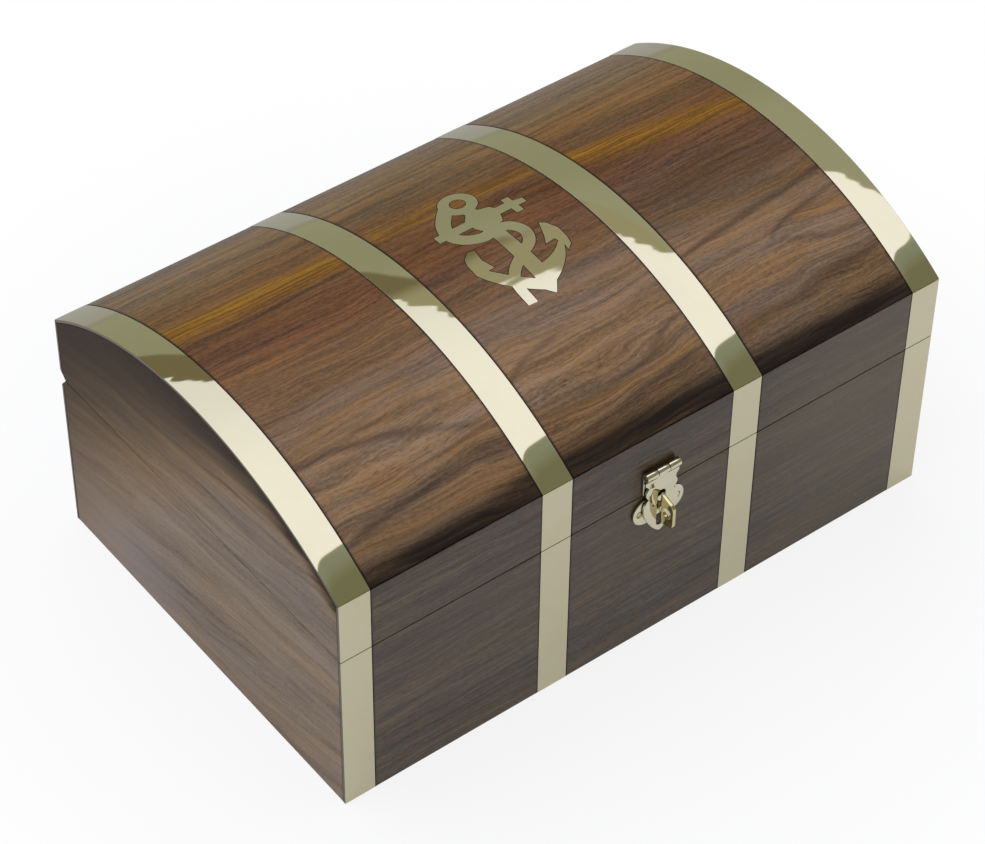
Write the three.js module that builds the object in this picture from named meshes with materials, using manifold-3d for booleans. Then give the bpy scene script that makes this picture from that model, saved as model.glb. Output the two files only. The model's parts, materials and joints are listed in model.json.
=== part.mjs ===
// A domed sea chest in dark hardwood, with inlaid brass straps, an inlaid anchor, two butt hinges and a hasp
// that closes over a swivel staple.
// Units are millimetres. X runs along the chest, the front faces -Y and Z is up. The origin is the middle of
// the underside, and the lid is closed.

import * as THREE from 'three';
import { mergeVertices } from 'three/addons/utils/BufferGeometryUtils.js';
import Module from 'manifold-3d';

const wasm = await Module();
wasm.setup();

// The chest
const chestLength = 300;
const chestWidth = 195;
const baseHeight = 82;
const seamGap = 0.4;
const lidWallHeight = 31.1;
const domeRise = 30.7;
const boardThickness = 9;
const bottomThickness = 6;
const linerThickness = 1.2;
const linerMargin = 0.8;

// Fits
const fit = 0.3;
const overrun = 1;

// The brass straps, inlaid flush across the front, the dome and the back
const strapWidth = 14.5;
const strapThickness = 1.2;

// The anchor, inlaid in the dome between the two middle straps
const anchorHeight = 74;
const anchorThickness = 1.2;
const anchorOffsetX = 1.8;
const anchorOffsetY = 3;

// The back hinges: each pin lies inside the back face, and both rims are bevelled behind it, so that the
// bevels meet and stop the lid when it is open
const hingeLength = 25;
const hingeInset = 3.2;
const hingeBarrelRadius = 2.2;
const hingePinRadius = 0.9;
const hingePinPlay = 0.15;
const hingeLeafThickness = 1;
const hingeLeafMargin = 0.5;
const hingeScrewSpacing = 16.5;
const knuckleGap = 0.3;
const lidOpening = 100;
const bevelSpare = 4;

// The hasp on the lid: a fixed leaf with two knuckles, and the hanging plate with the middle one
const haspOffsetX = 3.2;
const haspPinHeight = 11.6;
const haspWidth = 17;
const haspReach = 33.3;
const haspSheet = 1;
const haspBarrelRadius = 1.9;
const haspPinRadius = 0.7;
const haspPinPlay = 0.15;
const haspLeafHeight = 10.2;
const haspScrewSpacing = 11;
const haspScrewDrop = 6.8;

// The swivel staple on the base: an eye that stands through the hasp's slot and turns a quarter to lock it
const staplePlateWidth = 25.8;
const staplePlateHeight = 13.4;
const staplePlateWaist = 10;
const stapleScrewSpacing = 19;
const staplePostRadius = 1.5;
const stapleRivetRadius = 2.4;
const stapleRivetThickness = 0.9;
const stapleDrop = 8.4;
const eyeReach = 11;
const eyeHeight = 16.4;
const eyeTipHeight = 11.5;
const eyeCornerRadius = 3;
const eyeThickness = 1.6;
const eyeHoleRadius = 2.3;
const eyeHoleReach = 6.9;
const runningGap = 0.4;
const slotPlay = 1.1;

// The brass screws
const screwHeadRadius = 1.35;
const screwHeadDepth = 0.7;
const screwShankRadius = 0.75;
const screwLength = 6.5;
const screwSlotWidth = 0.45;
const screwSlotDepth = 0.35;

// How finely round shapes are divided
const domeSteps = 28;
const barrelSides = 24;
const screwSides = 16;
const curveSteps = 10;
const ropeSteps = 56;

// Places worked out from the sizes above
const halfLength = chestLength / 2;
const halfWidth = chestWidth / 2;
const lidRim = baseHeight + seamGap;
const crease = lidRim + lidWallHeight;
const domeRadius = (domeRise ** 2 + halfWidth ** 2) / (2 * domeRise);
const domeCentre = crease + domeRise - domeRadius;
const inlayDepth = strapThickness + fit;
const endBoardFace = halfLength - boardThickness;
const panelEnd = endBoardFace - fit;
const innerFace = halfWidth - boardThickness;
const endStrapX = halfLength - strapWidth / 2;
const hingeX = (endStrapX + endStrapX / 3) / 2;
const pinY = halfWidth - hingeInset;
const pinZ = baseHeight + seamGap / 2;
const bevelSlope = Math.tan(THREE.MathUtils.degToRad((lidOpening + bevelSpare) / 2));
const hingeLeafReach = pinY - innerFace - hingeLeafMargin;
const hingeScrewY = -(hingeBarrelRadius + hingeLeafReach) / 2;
const hingeKnuckleLength = (hingeLength - 2 * knuckleGap) / 3;
const haspStandoff = haspBarrelRadius + fit;
const haspKnuckleLength = (haspWidth - 2 * knuckleGap) / 3;
const haspPinZ = lidRim + haspPinHeight;
const stapleZ = baseHeight - stapleDrop;
const eyeRoot = haspStandoff + haspSheet / 2 + runningGap;

// Looks
const darkWood = { color: 0x4a3226, roughness: 0.35, metalness: 0 };
const warmWood = { color: 0x6b3a1c, roughness: 0.3, metalness: 0 };
const innerWood = { color: 0x5a3d28, roughness: 0.6, metalness: 0 };
const polishedBrass = { color: 0xc9bd86, roughness: 0.25, metalness: 1 };
const yellowBrass = { color: 0xc8b560, roughness: 0.3, metalness: 1 };
const cloth = { color: 0x5a1520, roughness: 0.95, metalness: 0 };

const at = (x, y) => new THREE.Vector2(x, y);
const xAxis = new THREE.Vector3(1, 0, 0);
const yAxis = new THREE.Vector3(0, 1, 0);
const zAxis = new THREE.Vector3(0, 0, 1);
const sectionFrame = new THREE.Matrix4().makeBasis(yAxis, zAxis, xAxis);
const frontFrame = new THREE.Matrix4().makeBasis(xAxis, zAxis, yAxis.clone().negate());

// A section drawn in Y and Z, carried along X from one end to the other
function alongX(points, from, to) {
  const geometry = new THREE.ExtrudeGeometry(new THREE.Shape(points), { depth: to - from, bevelEnabled: false });
  return geometry.applyMatrix4(sectionFrame).translate(from, 0, 0);
}

// A front view drawn in X and Z, carried outward from the front face, towards -Y
function outward(shape, from, to) {
  const options = { depth: to - from, bevelEnabled: false, curveSegments: curveSteps };
  return new THREE.ExtrudeGeometry(shape, options).applyMatrix4(frontFrame).translate(0, -from, 0);
}

// A plan drawn in X and Y, carried up from one height to another
function upward(shape, from, to) {
  const options = { depth: to - from, bevelEnabled: false, curveSegments: curveSteps * 2 };
  return new THREE.ExtrudeGeometry(shape, options).translate(0, 0, from);
}

function block(low, high) {
  const size = high.map((value, index) => value - low[index]);
  const middle = high.map((value, index) => (value + low[index]) / 2);
  return new THREE.BoxGeometry(...size).translate(...middle);
}

function rodAlongX(radius, from, to) {
  const rod = new THREE.CylinderGeometry(radius, radius, to - from, barrelSides);
  return rod.rotateZ(Math.PI / 2).translate((from + to) / 2, 0, 0);
}

function rodAlongY(radius, from, to) {
  return new THREE.CylinderGeometry(radius, radius, to - from, barrelSides).translate(0, (from + to) / 2, 0);
}

function toSolid(geometry) {
  const bare = geometry.clone();
  bare.deleteAttribute('normal');
  bare.deleteAttribute('uv');
  const merged = mergeVertices(bare);
  return new wasm.Manifold(new wasm.Mesh({
    numProp: 3,
    vertProperties: Float32Array.from(merged.attributes.position.array),
    triVerts: Uint32Array.from(merged.index.array),
  }));
}

function toGeometry(solid) {
  const mesh = solid.getMesh();
  const geometry = new THREE.BufferGeometry();
  geometry.setAttribute('position', new THREE.BufferAttribute(mesh.vertProperties, mesh.numProp));
  geometry.setIndex(new THREE.BufferAttribute(mesh.triVerts, 1));
  geometry.computeVertexNormals();
  return geometry;
}

const joined = (geometries) => geometries.map(toSolid).reduce((whole, piece) => whole.add(piece));
const cut = (solid, cutters) => cutters.map(toSolid).reduce((rest, cutter) => rest.subtract(cutter), solid);

function addPart(parent, name, shape, look) {
  const geometry = shape instanceof THREE.BufferGeometry ? shape : toGeometry(shape);
  const mesh = new THREE.Mesh(geometry, new THREE.MeshStandardMaterial(look));
  mesh.name = name;
  parent.add(mesh);
  return mesh;
}

// The dome is an arc about an axis along X. Its height at an inset below the surface:
const domeZ = (inset, y) => domeCentre + Math.sqrt((domeRadius - inset) ** 2 - y ** 2);
// The end of the arc at an inset, where it meets the wall's face at the same inset: the mitre
const mitreAngle = (inset) => Math.asin((halfWidth - inset) / (domeRadius - inset));
const onDome = (inset, angle) => at(
  (domeRadius - inset) * Math.sin(angle),
  domeCentre + (domeRadius - inset) * Math.cos(angle),
);
const domeStep = (2 * mitreAngle(0)) / domeSteps;
const domeAngles = Array.from({ length: domeSteps - 1 }, (_, index) => (index + 1) * domeStep - mitreAngle(0));

// The arc at an inset from the front mitre to the back one, divided at the same angles at every inset
function domeArc(inset) {
  const end = mitreAngle(inset);
  const between = domeAngles.filter((angle) => Math.abs(angle) < end - domeStep / 8);
  return [-end, ...between, end].map((angle) => onDome(inset, angle));
}

// A shell between two insets, which runs past both mitres, to cut or keep what lies near the surface
function domeBand(outerInset, innerInset) {
  const end = mitreAngle(0);
  const angles = [-end - domeStep, -end, ...domeAngles, end, end + domeStep];
  const outer = angles.map((angle) => onDome(outerInset, angle));
  const inner = angles.map((angle) => onDome(innerInset, angle));
  return [...outer, ...inner.reverse()];
}

// How far a rim is cut back at a distance y, by the bevel behind the hinge pins
const bevelDrop = (y) => Math.max(0, y - pinY) * bevelSlope;

// Sections of walls. A front section is the same as a back one without a bevel, on the other side.
const toFront = (points) => points.map((point) => at(-point.x, point.y)).reverse();

function lidWallSection(thickness, bevelled) {
  const inner = halfWidth - thickness;
  const drop = bevelled ? bevelDrop : () => 0;
  const points = [
    at(halfWidth, lidRim + drop(halfWidth)),
    at(halfWidth, crease - fit),
    at(inner, domeZ(thickness, inner) - fit),
    at(inner, lidRim + drop(inner)),
  ];
  return bevelled && inner < pinY ? [...points, at(pinY, lidRim)] : points;
}

function baseWallSection(thickness, bevelled) {
  const inner = halfWidth - thickness;
  const drop = bevelled ? bevelDrop : () => 0;
  const points = [at(inner, 0), at(halfWidth, 0), at(halfWidth, baseHeight - drop(halfWidth))];
  if (bevelled && inner < pinY) points.push(at(pinY, baseHeight));
  return [...points, at(inner, baseHeight - drop(inner))];
}

const domeSection = (outerInset, innerInset) => [...domeArc(outerInset), ...domeArc(innerInset).reverse()].reverse();

// Straps: two flush with the ends, and two spaced evenly between them
const strapPlaces = [
  { name: 'left_end', x: -endStrapX },
  { name: 'left_middle', x: -endStrapX / 3 },
  { name: 'right_middle', x: endStrapX / 3 },
  { name: 'right_end', x: endStrapX },
];
const strapReach = strapWidth / 2 + fit;

// Where a strap's groove starts and ends along X. A groove at the end of a board runs out past it.
function grooveSpans() {
  return strapPlaces.map(({ x }) => {
    const low = x - strapReach;
    const high = x + strapReach;
    return [low < -endBoardFace ? -halfLength : low, high > endBoardFace ? halfLength : high];
  });
}

function wallGrooves(side, low, high) {
  const faces = [side * (halfWidth - inlayDepth), side * (halfWidth + overrun)].sort((a, b) => a - b);
  return grooveSpans().map(([from, to]) => block([from, faces[0], low], [to, faces[1], high]));
}

const domeGrooves = () => grooveSpans().map(([from, to]) => alongX(domeBand(-overrun, inlayDepth), from, to));

// A countersunk slotted screw along Z with its head's face at zero. Grown, it cuts its own clearance.
function screwBody(grow) {
  const shank = screwShankRadius + grow;
  const head = screwHeadRadius + grow;
  const foot = -screwLength - grow;
  const profile = [at(0, foot), at(shank, foot), at(shank, -screwHeadDepth), at(head, 0)];
  const top = grow > 0 ? [at(head, overrun), at(0, overrun)] : [at(0, 0)];
  return new THREE.LatheGeometry([...profile, ...top], screwSides).rotateX(Math.PI / 2);
}

function screw() {
  const slot = block(
    [-screwHeadRadius - overrun, -screwSlotWidth / 2, -screwSlotDepth],
    [screwHeadRadius + overrun, screwSlotWidth / 2, overrun],
  );
  return cut(toSolid(screwBody(0)), [slot]);
}

// Screws face up in the base's rim, down in the lid's rim and outward on the front face
const faceUp = (geometry) => geometry;
const faceDown = (geometry) => geometry.rotateX(Math.PI);
const faceFront = (geometry) => geometry.rotateX(Math.PI / 2);

const hingeScrewPlaces = [-hingeScrewSpacing / 2, hingeScrewSpacing / 2];
const haspScrewPlaces = [-haspScrewSpacing / 2, haspScrewSpacing / 2];
const stapleScrewPlaces = [-stapleScrewSpacing / 2, stapleScrewSpacing / 2];
const hingePlaces = [{ name: 'left', x: -hingeX }, { name: 'right', x: hingeX }];

function hingeScrewCutters(side) {
  const turn = side < 0 ? faceUp : faceDown;
  return hingeScrewPlaces.map((x) => turn(screwBody(fit)).translate(x, hingeScrewY, side * seamGap / 2));
}

// What a hinge takes out of a rim: the leaf's mortise, open to the inside, and room for the barrel
function hingeSeat(side) {
  const far = side * (seamGap / 2 + hingeLeafThickness + fit);
  const near = -side * overrun;
  return [
    block(
      [-hingeLength / 2 - fit, -boardThickness, Math.min(far, near)],
      [hingeLength / 2 + fit, 0, Math.max(far, near)],
    ),
    rodAlongX(hingeBarrelRadius + fit, -hingeLength / 2 - fit, hingeLength / 2 + fit),
    ...hingeScrewCutters(side),
  ];
}

const hingeSeats = (side) => hingePlaces.flatMap(
  ({ x }) => hingeSeat(side).map((cutter) => cutter.translate(x, pinY, pinZ)),
);

// The anchor's outline, in X and Y from its middle. The shares are of the anchor's height.
const ringPlaceShare = 0.382;
const ringShare = 0.111;
const ringHoleShare = 0.047;
const shankShares = [[-0.036, 0.33], [0.042, 0.33], [0.058, -0.4], [-0.042, -0.4]];
const bossShares = [
  [0.044, 0.262], [0.108, 0.242], [0.128, 0.205], [0.112, 0.14], [0.09, 0.094], [0.04, 0.086], [-0.044, 0.08],
  [-0.072, 0.13], [-0.076, 0.215], [-0.036, 0.262],
];
const stockShares = [[-0.292, 0.148], [0.296, 0.15], [0.296, 0.19], [0.2, 0.212], [-0.2, 0.212], [-0.292, 0.208]];
const stockCrossShares = [[-0.024, 0.1], [0.024, 0.1], [0.024, 0.247], [-0.024, 0.247]];
const stockCrossPlaceShares = [-0.216, 0.216];
const leftFlukeShares = [
  [-0.296, -0.18], [-0.29, -0.089], [-0.273, -0.043], [-0.227, -0.004], [-0.184, -0.011], [-0.2, -0.097],
  [-0.178, -0.182], [-0.224, -0.185],
];
const rightFlukeShares = [
  [0.159, -0.195], [0.189, -0.142], [0.231, -0.039], [0.262, -0.062], [0.292, -0.132], [0.289, -0.211],
  [0.274, -0.266], [0.235, -0.295], [0.241, -0.24], [0.222, -0.188],
];
const armShares = [
  [[0.046, -0.432], [0.19, -0.36], [0.243, -0.243]],
  [[0.229, -0.21], [0.16, -0.28], [0.05, -0.295]],
  [[-0.036, -0.37], [-0.15, -0.28], [-0.224, -0.18]],
  [[-0.296, -0.18], [-0.24, -0.33], [-0.042, -0.457]],
];
const crownShares = [[-0.06, -0.39], [0.06, -0.39], [0.046, -0.434], [-0.006, -0.502], [-0.044, -0.458]];
const ropeHalfWidthShares = [0.044, 0.03];
const ropeShares = [
  [-0.07, 0.39], [-0.132, 0.33], [-0.192, 0.25], [-0.215, 0.165], [-0.175, 0.09], [-0.08, 0.045], [0.02, 0.058],
  [0.095, 0.035], [0.132, -0.045], [0.1, -0.125], [0.015, -0.18], [-0.09, -0.25], [-0.152, -0.34], [-0.16, -0.495],
];

const anchorPoint = ([x, y]) => at(x * anchorHeight, y * anchorHeight);

// Moves every side of an outline outward by the same distance
function grownOutline(points, grow) {
  const turn = THREE.ShapeUtils.isClockWise(points) ? -1 : 1;
  return points.map((point, index) => {
    const before = points[(index + points.length - 1) % points.length];
    const after = points[(index + 1) % points.length];
    const inDirection = point.clone().sub(before).normalize();
    const outDirection = after.clone().sub(point).normalize();
    const inNormal = at(inDirection.y, -inDirection.x).multiplyScalar(turn);
    const outNormal = at(outDirection.y, -outDirection.x).multiplyScalar(turn);
    const middle = inNormal.clone().add(outNormal).normalize();
    return point.clone().addScaledVector(middle, grow / middle.dot(inNormal));
  });
}

// The rope's band tapers from the ring to its hanging end
function ropeOutline(grow) {
  const path = new THREE.SplineCurve(ropeShares.map(anchorPoint));
  const sides = [1, -1].map((side) => Array.from({ length: ropeSteps + 1 }, (_, index) => {
    const along = index / ropeSteps;
    const tangent = path.getTangent(along);
    const reach = THREE.MathUtils.lerp(...ropeHalfWidthShares, along) * anchorHeight + grow;
    return path.getPoint(along).addScaledVector(at(-tangent.y, tangent.x), side * reach);
  }));
  return [...sides[0], ...sides[1].reverse()];
}

// The two arms in one outline, from four curves: the right arm's outer and inner side, then the left arm's
// inner and outer side
const armsOutline = () => armShares.flatMap(
  (shares) => new THREE.QuadraticBezierCurve(...shares.map(anchorPoint)).getPoints(curveSteps),
);

function ringShape(grow) {
  const y = ringPlaceShare * anchorHeight;
  const shape = new THREE.Shape().absarc(0, y, ringShare * anchorHeight + grow, 0, 2 * Math.PI);
  const hole = new THREE.Path().absarc(0, y, ringHoleShare * anchorHeight - grow, 0, 2 * Math.PI, true);
  shape.holes.push(hole);
  return shape;
}

// The anchor as upright prisms through the dome's surface, kept only between two insets
function anchorSolid(grow, outerInset, innerInset) {
  const crosses = stockCrossPlaceShares.map((place) => stockCrossShares.map(([x, y]) => [x + place, y]));
  const tables = [shankShares, bossShares, stockShares, ...crosses, leftFlukeShares, rightFlukeShares, crownShares];
  const outlines = [armsOutline(), ...tables.map((shares) => shares.map(anchorPoint))];
  const polygons = outlines.map((points) => new THREE.Shape(grownOutline(points, grow)));
  const shapes = [ringShape(grow), new THREE.Shape(ropeOutline(grow)), ...polygons];
  const prisms = shapes.map((shape) => upward(shape, crease, crease + 2 * domeRise));
  const outline = joined(prisms.map((prism) => prism.translate(anchorOffsetX, anchorOffsetY, 0)));
  return outline.intersect(toSolid(alongX(domeBand(outerInset, innerInset), -anchorHeight, anchorHeight)));
}

const chest = new THREE.Group();
const base = new THREE.Group();
const lid = new THREE.Group();
chest.add(base, lid);

// The base: four walls round a bottom board, and a cloth-covered card on its floor
function buildBase() {
  const endInner = halfWidth - inlayDepth;
  const endSection = [
    at(-endInner, 0),
    at(endInner, 0),
    at(endInner, baseHeight - bevelDrop(endInner)),
    at(pinY, baseHeight),
    at(-endInner, baseHeight),
  ];
  addPart(base, 'base_left_end', alongX(endSection, -halfLength, -endBoardFace), darkWood);
  addPart(base, 'base_right_end', alongX(endSection, endBoardFace, halfLength), darkWood);

  const front = toSolid(alongX(toFront(baseWallSection(boardThickness, false)), -panelEnd, panelEnd));
  const stapleHoles = stapleScrewPlaces.map(
    (x) => faceFront(screwBody(fit)).translate(haspOffsetX + x, -halfWidth - fit - haspSheet, stapleZ),
  );
  const rivetPocket = rodAlongY(stapleRivetRadius + fit, -overrun, stapleRivetThickness + fit)
    .translate(haspOffsetX, -halfWidth, stapleZ);
  const frontCutters = [...wallGrooves(-1, -overrun, baseHeight + overrun), ...stapleHoles, rivetPocket];
  addPart(base, 'base_front_wall', cut(front, frontCutters), darkWood);

  const back = toSolid(alongX(baseWallSection(boardThickness, true), -panelEnd, panelEnd));
  const backCutters = [...wallGrooves(1, -overrun, baseHeight + overrun), ...hingeSeats(-1)];
  addPart(base, 'base_back_wall', cut(back, backCutters), darkWood);

  const floorX = endBoardFace - fit;
  const floorY = innerFace - fit;
  addPart(base, 'bottom_board', block([-floorX, -floorY, 0], [floorX, floorY, bottomThickness]), innerWood);

  const linerX = endBoardFace - linerMargin;
  const linerY = innerFace - linerMargin;
  const linerFloor = bottomThickness + fit;
  const liner = block([-linerX, -linerY, linerFloor], [linerX, linerY, linerFloor + linerThickness]);
  addPart(base, 'floor_liner', liner, cloth);
}

// The lid: two arc-topped end boards, a front and a back rail, and the dome between them
function buildLid() {
  const endInner = halfWidth - inlayDepth;
  const endSection = [
    at(-endInner, lidRim),
    ...domeArc(inlayDepth),
    at(endInner, lidRim + bevelDrop(endInner)),
    at(pinY, lidRim),
  ].reverse();
  addPart(lid, 'lid_left_end', alongX(endSection, -halfLength, -endBoardFace), darkWood);
  addPart(lid, 'lid_right_end', alongX(endSection, endBoardFace, halfLength), darkWood);

  const front = toSolid(alongX(toFront(lidWallSection(boardThickness, false)), -panelEnd, panelEnd));
  const haspHoles = haspScrewPlaces.map((x) => faceFront(screwBody(fit))
    .translate(haspOffsetX + x, -halfWidth - fit - haspSheet, haspPinZ - haspScrewDrop));
  const frontCutters = [...wallGrooves(-1, lidRim - overrun, crease + overrun), ...haspHoles];
  addPart(lid, 'lid_front_rail', cut(front, frontCutters), darkWood);

  const back = toSolid(alongX(lidWallSection(boardThickness, true), -panelEnd, panelEnd));
  const backCutters = [...wallGrooves(1, lidRim - overrun, crease + overrun), ...hingeSeats(1)];
  addPart(lid, 'lid_back_rail', cut(back, backCutters), darkWood);

  const dome = cut(toSolid(alongX(domeSection(0, boardThickness), -panelEnd, panelEnd)), domeGrooves());
  const pocket = anchorSolid(fit, -overrun, anchorThickness + fit);
  addPart(lid, 'lid_dome', dome.subtract(pocket), warmWood);
  addPart(lid, 'anchor_inlay', anchorSolid(0, 0, anchorThickness), polishedBrass);
}

// Each strap runs up the front of the base and the lid, over the dome and down the back, in five lengths
function buildStraps() {
  const lengths = [
    { body: base, name: 'base_front_strap', section: toFront(baseWallSection(strapThickness, false)) },
    { body: base, name: 'base_back_strap', section: baseWallSection(strapThickness, true) },
    { body: lid, name: 'lid_front_strap', section: toFront(lidWallSection(strapThickness, false)) },
    { body: lid, name: 'lid_back_strap', section: lidWallSection(strapThickness, true) },
    { body: lid, name: 'dome_strap', section: domeSection(0, strapThickness) },
  ];
  for (const { body, name, section } of lengths) {
    for (const place of strapPlaces) {
      const strap = alongX(section, -strapWidth / 2, strapWidth / 2);
      addPart(body, `${name}_${place.name}`, strap, polishedBrass).position.x = place.x;
    }
  }
}

// A hinge leaf lies on its rim. The base's leaf has the two outer knuckles and the lid's has the middle one.
function hingeLeaf(side) {
  const near = side * seamGap / 2;
  const far = near + side * hingeLeafThickness;
  const plate = block(
    [-hingeLength / 2, -hingeLeafReach, Math.min(near, far)],
    [hingeLength / 2, 0, Math.max(near, far)],
  );
  const middle = hingeKnuckleLength / 2;
  const end = hingeLength / 2;
  const outerSpans = [[-end, -middle - knuckleGap], [middle + knuckleGap, end]];
  const ownSpans = side < 0 ? outerSpans : [[-middle, middle]];
  const otherSpans = side < 0
    ? [[-middle - knuckleGap, middle + knuckleGap]]
    : [[-end - overrun, -middle], [middle, end + overrun]];
  const knuckles = ownSpans.map(([from, to]) => rodAlongX(hingeBarrelRadius, from, to));
  const rooms = otherSpans.map(([from, to]) => rodAlongX(hingeBarrelRadius + fit, from, to));
  const bore = rodAlongX(hingePinRadius + hingePinPlay, -end - overrun, end + overrun);
  const cleared = cut(toSolid(plate), rooms);
  return cut(knuckles.map(toSolid).reduce((leaf, knuckle) => leaf.add(knuckle), cleared),
    [bore, ...hingeScrewCutters(side)]);
}

function buildHinges() {
  for (const { name, x } of hingePlaces) {
    const hinge = new THREE.Group();
    hinge.position.set(x, pinY, pinZ);
    chest.add(hinge);
    addPart(hinge, `${name}_hinge_base_leaf`, hingeLeaf(-1), yellowBrass);
    addPart(hinge, `${name}_hinge_lid_leaf`, hingeLeaf(1), yellowBrass);
    const pin = rodAlongX(hingePinRadius, -hingeLength / 2, hingeLength / 2);
    addPart(hinge, `${name}_hinge_pin`, pin, yellowBrass);
    hingeScrewPlaces.forEach((screwX, index) => {
      const baseScrew = addPart(hinge, `${name}_hinge_base_screw_${index + 1}`, screw(), yellowBrass);
      baseScrew.position.set(screwX, hingeScrewY, -seamGap / 2);
      const lidScrew = addPart(hinge, `${name}_hinge_lid_screw_${index + 1}`, screw(), yellowBrass);
      lidScrew.rotation.x = Math.PI;
      lidScrew.position.set(screwX, hingeScrewY, seamGap / 2);
    });
  }
}

// The hasp's outline below its pin, as shares of half its width and of its reach
const haspShoulderShare = 0.085;
const haspShoulderFootShare = 0.13;
const haspNotchShares = [[0.75, 0.205], [0.75, 0.39]];
const haspLobeShares = [1.12, 0.29];
const haspBulbShares = [[1.55, 0.5], [0.5, 0.96]];

function haspOutline() {
  const half = haspWidth / 2;
  const place = ([x, z]) => [x * half, -z * haspReach];
  const side = new THREE.Path();
  side.moveTo(haspKnuckleLength / 2, 0);
  side.lineTo(haspKnuckleLength / 2, -haspShoulderShare * haspReach);
  side.lineTo(half, -haspShoulderShare * haspReach);
  side.lineTo(half, -haspShoulderFootShare * haspReach);
  side.lineTo(...place(haspNotchShares[0]));
  side.quadraticCurveTo(...place(haspLobeShares), ...place(haspNotchShares[1]));
  side.bezierCurveTo(...place(haspBulbShares[0]), ...place(haspBulbShares[1]), 0, -haspReach);
  const right = side.getPoints(curveSteps);
  const left = right.slice(0, -1).map((point) => at(-point.x, point.y)).reverse();
  return [...right, ...left];
}

// The slot lets the eye's whole outline pass as the hasp swings about its pin
function haspSlot() {
  const eyeTop = stapleZ + eyeHeight / 2;
  const eyeFoot = stapleZ - eyeHeight / 2;
  const out = eyeRoot - haspStandoff;
  const top = -Math.hypot(haspPinZ - eyeTop, out) + slotPlay / 2;
  const foot = -Math.hypot(haspPinZ - eyeFoot, out) - slotPlay / 2;
  const radius = Math.max(staplePostRadius, eyeThickness / 2) + slotPlay / 2;
  const slot = new THREE.Path();
  slot.absarc(0, top - radius / 2, radius, 0, Math.PI, false);
  slot.absarc(0, foot + radius / 2, radius, Math.PI, 2 * Math.PI, false);
  return slot;
}

function haspKnuckles(spans) {
  return spans.map(([from, to]) => rodAlongX(haspBarrelRadius, from, to).translate(0, -haspStandoff, 0));
}

function buildHasp() {
  const hasp = new THREE.Group();
  hasp.position.set(haspOffsetX, -halfWidth, haspPinZ);
  chest.add(hasp);
  const end = haspWidth / 2;
  const middle = haspKnuckleLength / 2;
  const bore = rodAlongX(haspPinRadius + haspPinPlay, -end - overrun, end + overrun).translate(0, -haspStandoff, 0);
  const room = rodAlongX(haspBarrelRadius + fit, -middle - knuckleGap, middle + knuckleGap)
    .translate(0, -haspStandoff, 0);

  const leafPlate = block([-end, -fit - haspSheet, -haspLeafHeight], [end, -fit, 0]);
  const leafKnuckles = haspKnuckles([[-end, -middle - knuckleGap], [middle + knuckleGap, end]]);
  const screwHoles = haspScrewPlaces.map(
    (x) => faceFront(screwBody(fit)).translate(x, -fit - haspSheet, -haspScrewDrop),
  );
  const leaf = cut(joined([leafPlate, ...leafKnuckles]), [bore, room, ...screwHoles]);
  addPart(hasp, 'hasp_lid_leaf', leaf, polishedBrass);

  const shape = new THREE.Shape(haspOutline());
  shape.holes.push(haspSlot());
  const sheet = outward(shape, haspStandoff - haspSheet / 2, haspStandoff + haspSheet / 2);
  const plate = cut(joined([sheet, ...haspKnuckles([[-middle, middle]])]), [bore]);
  addPart(hasp, 'hasp_plate', plate, polishedBrass);

  const pin = rodAlongX(haspPinRadius, -end, end).translate(0, -haspStandoff, 0);
  addPart(hasp, 'hasp_pin', pin, yellowBrass);
  haspScrewPlaces.forEach((x, index) => {
    const fastener = addPart(hasp, `hasp_leaf_screw_${index + 1}`, screw(), yellowBrass);
    fastener.rotation.x = Math.PI / 2;
    fastener.position.set(x, -fit - haspSheet, -haspScrewDrop);
  });
}

// The staple's plate: two round lobes joined by a waist
function staplePlateShape() {
  const lobe = staplePlateHeight / 2;
  const centre = staplePlateWidth / 2 - lobe;
  const angle = Math.PI - Math.asin(staplePlateWaist / staplePlateHeight);
  const shape = new THREE.Shape();
  shape.absarc(centre, 0, lobe, -angle, angle, false);
  shape.absarc(-centre, 0, lobe, Math.PI - angle, Math.PI + angle, false);
  shape.holes.push(new THREE.Path().absarc(0, 0, staplePostRadius + fit, 0, 2 * Math.PI, true));
  return shape;
}

// The eye in side view, drawn in Y and Z: a rounded tongue with a hole for a padlock's shackle
function eyeShape() {
  const root = eyeHeight / 2;
  const tip = eyeTipHeight / 2;
  const slope = Math.atan2(root - tip, eyeReach - eyeRoot);
  const centreY = eyeReach - eyeCornerRadius;
  const centreZ = tip + (root - tip) * eyeCornerRadius / (eyeReach - eyeRoot) - eyeCornerRadius / Math.cos(slope);
  const shape = new THREE.Shape();
  shape.moveTo(-eyeRoot, -root);
  shape.lineTo(-eyeRoot, root);
  shape.absarc(-centreY, centreZ, eyeCornerRadius, Math.PI / 2 + slope, Math.PI, false);
  shape.absarc(-centreY, -centreZ, eyeCornerRadius, Math.PI, 3 * Math.PI / 2 - slope, false);
  shape.holes.push(new THREE.Path().absarc(-eyeHoleReach, 0, eyeHoleRadius, 0, 2 * Math.PI, true));
  return shape;
}

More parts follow.
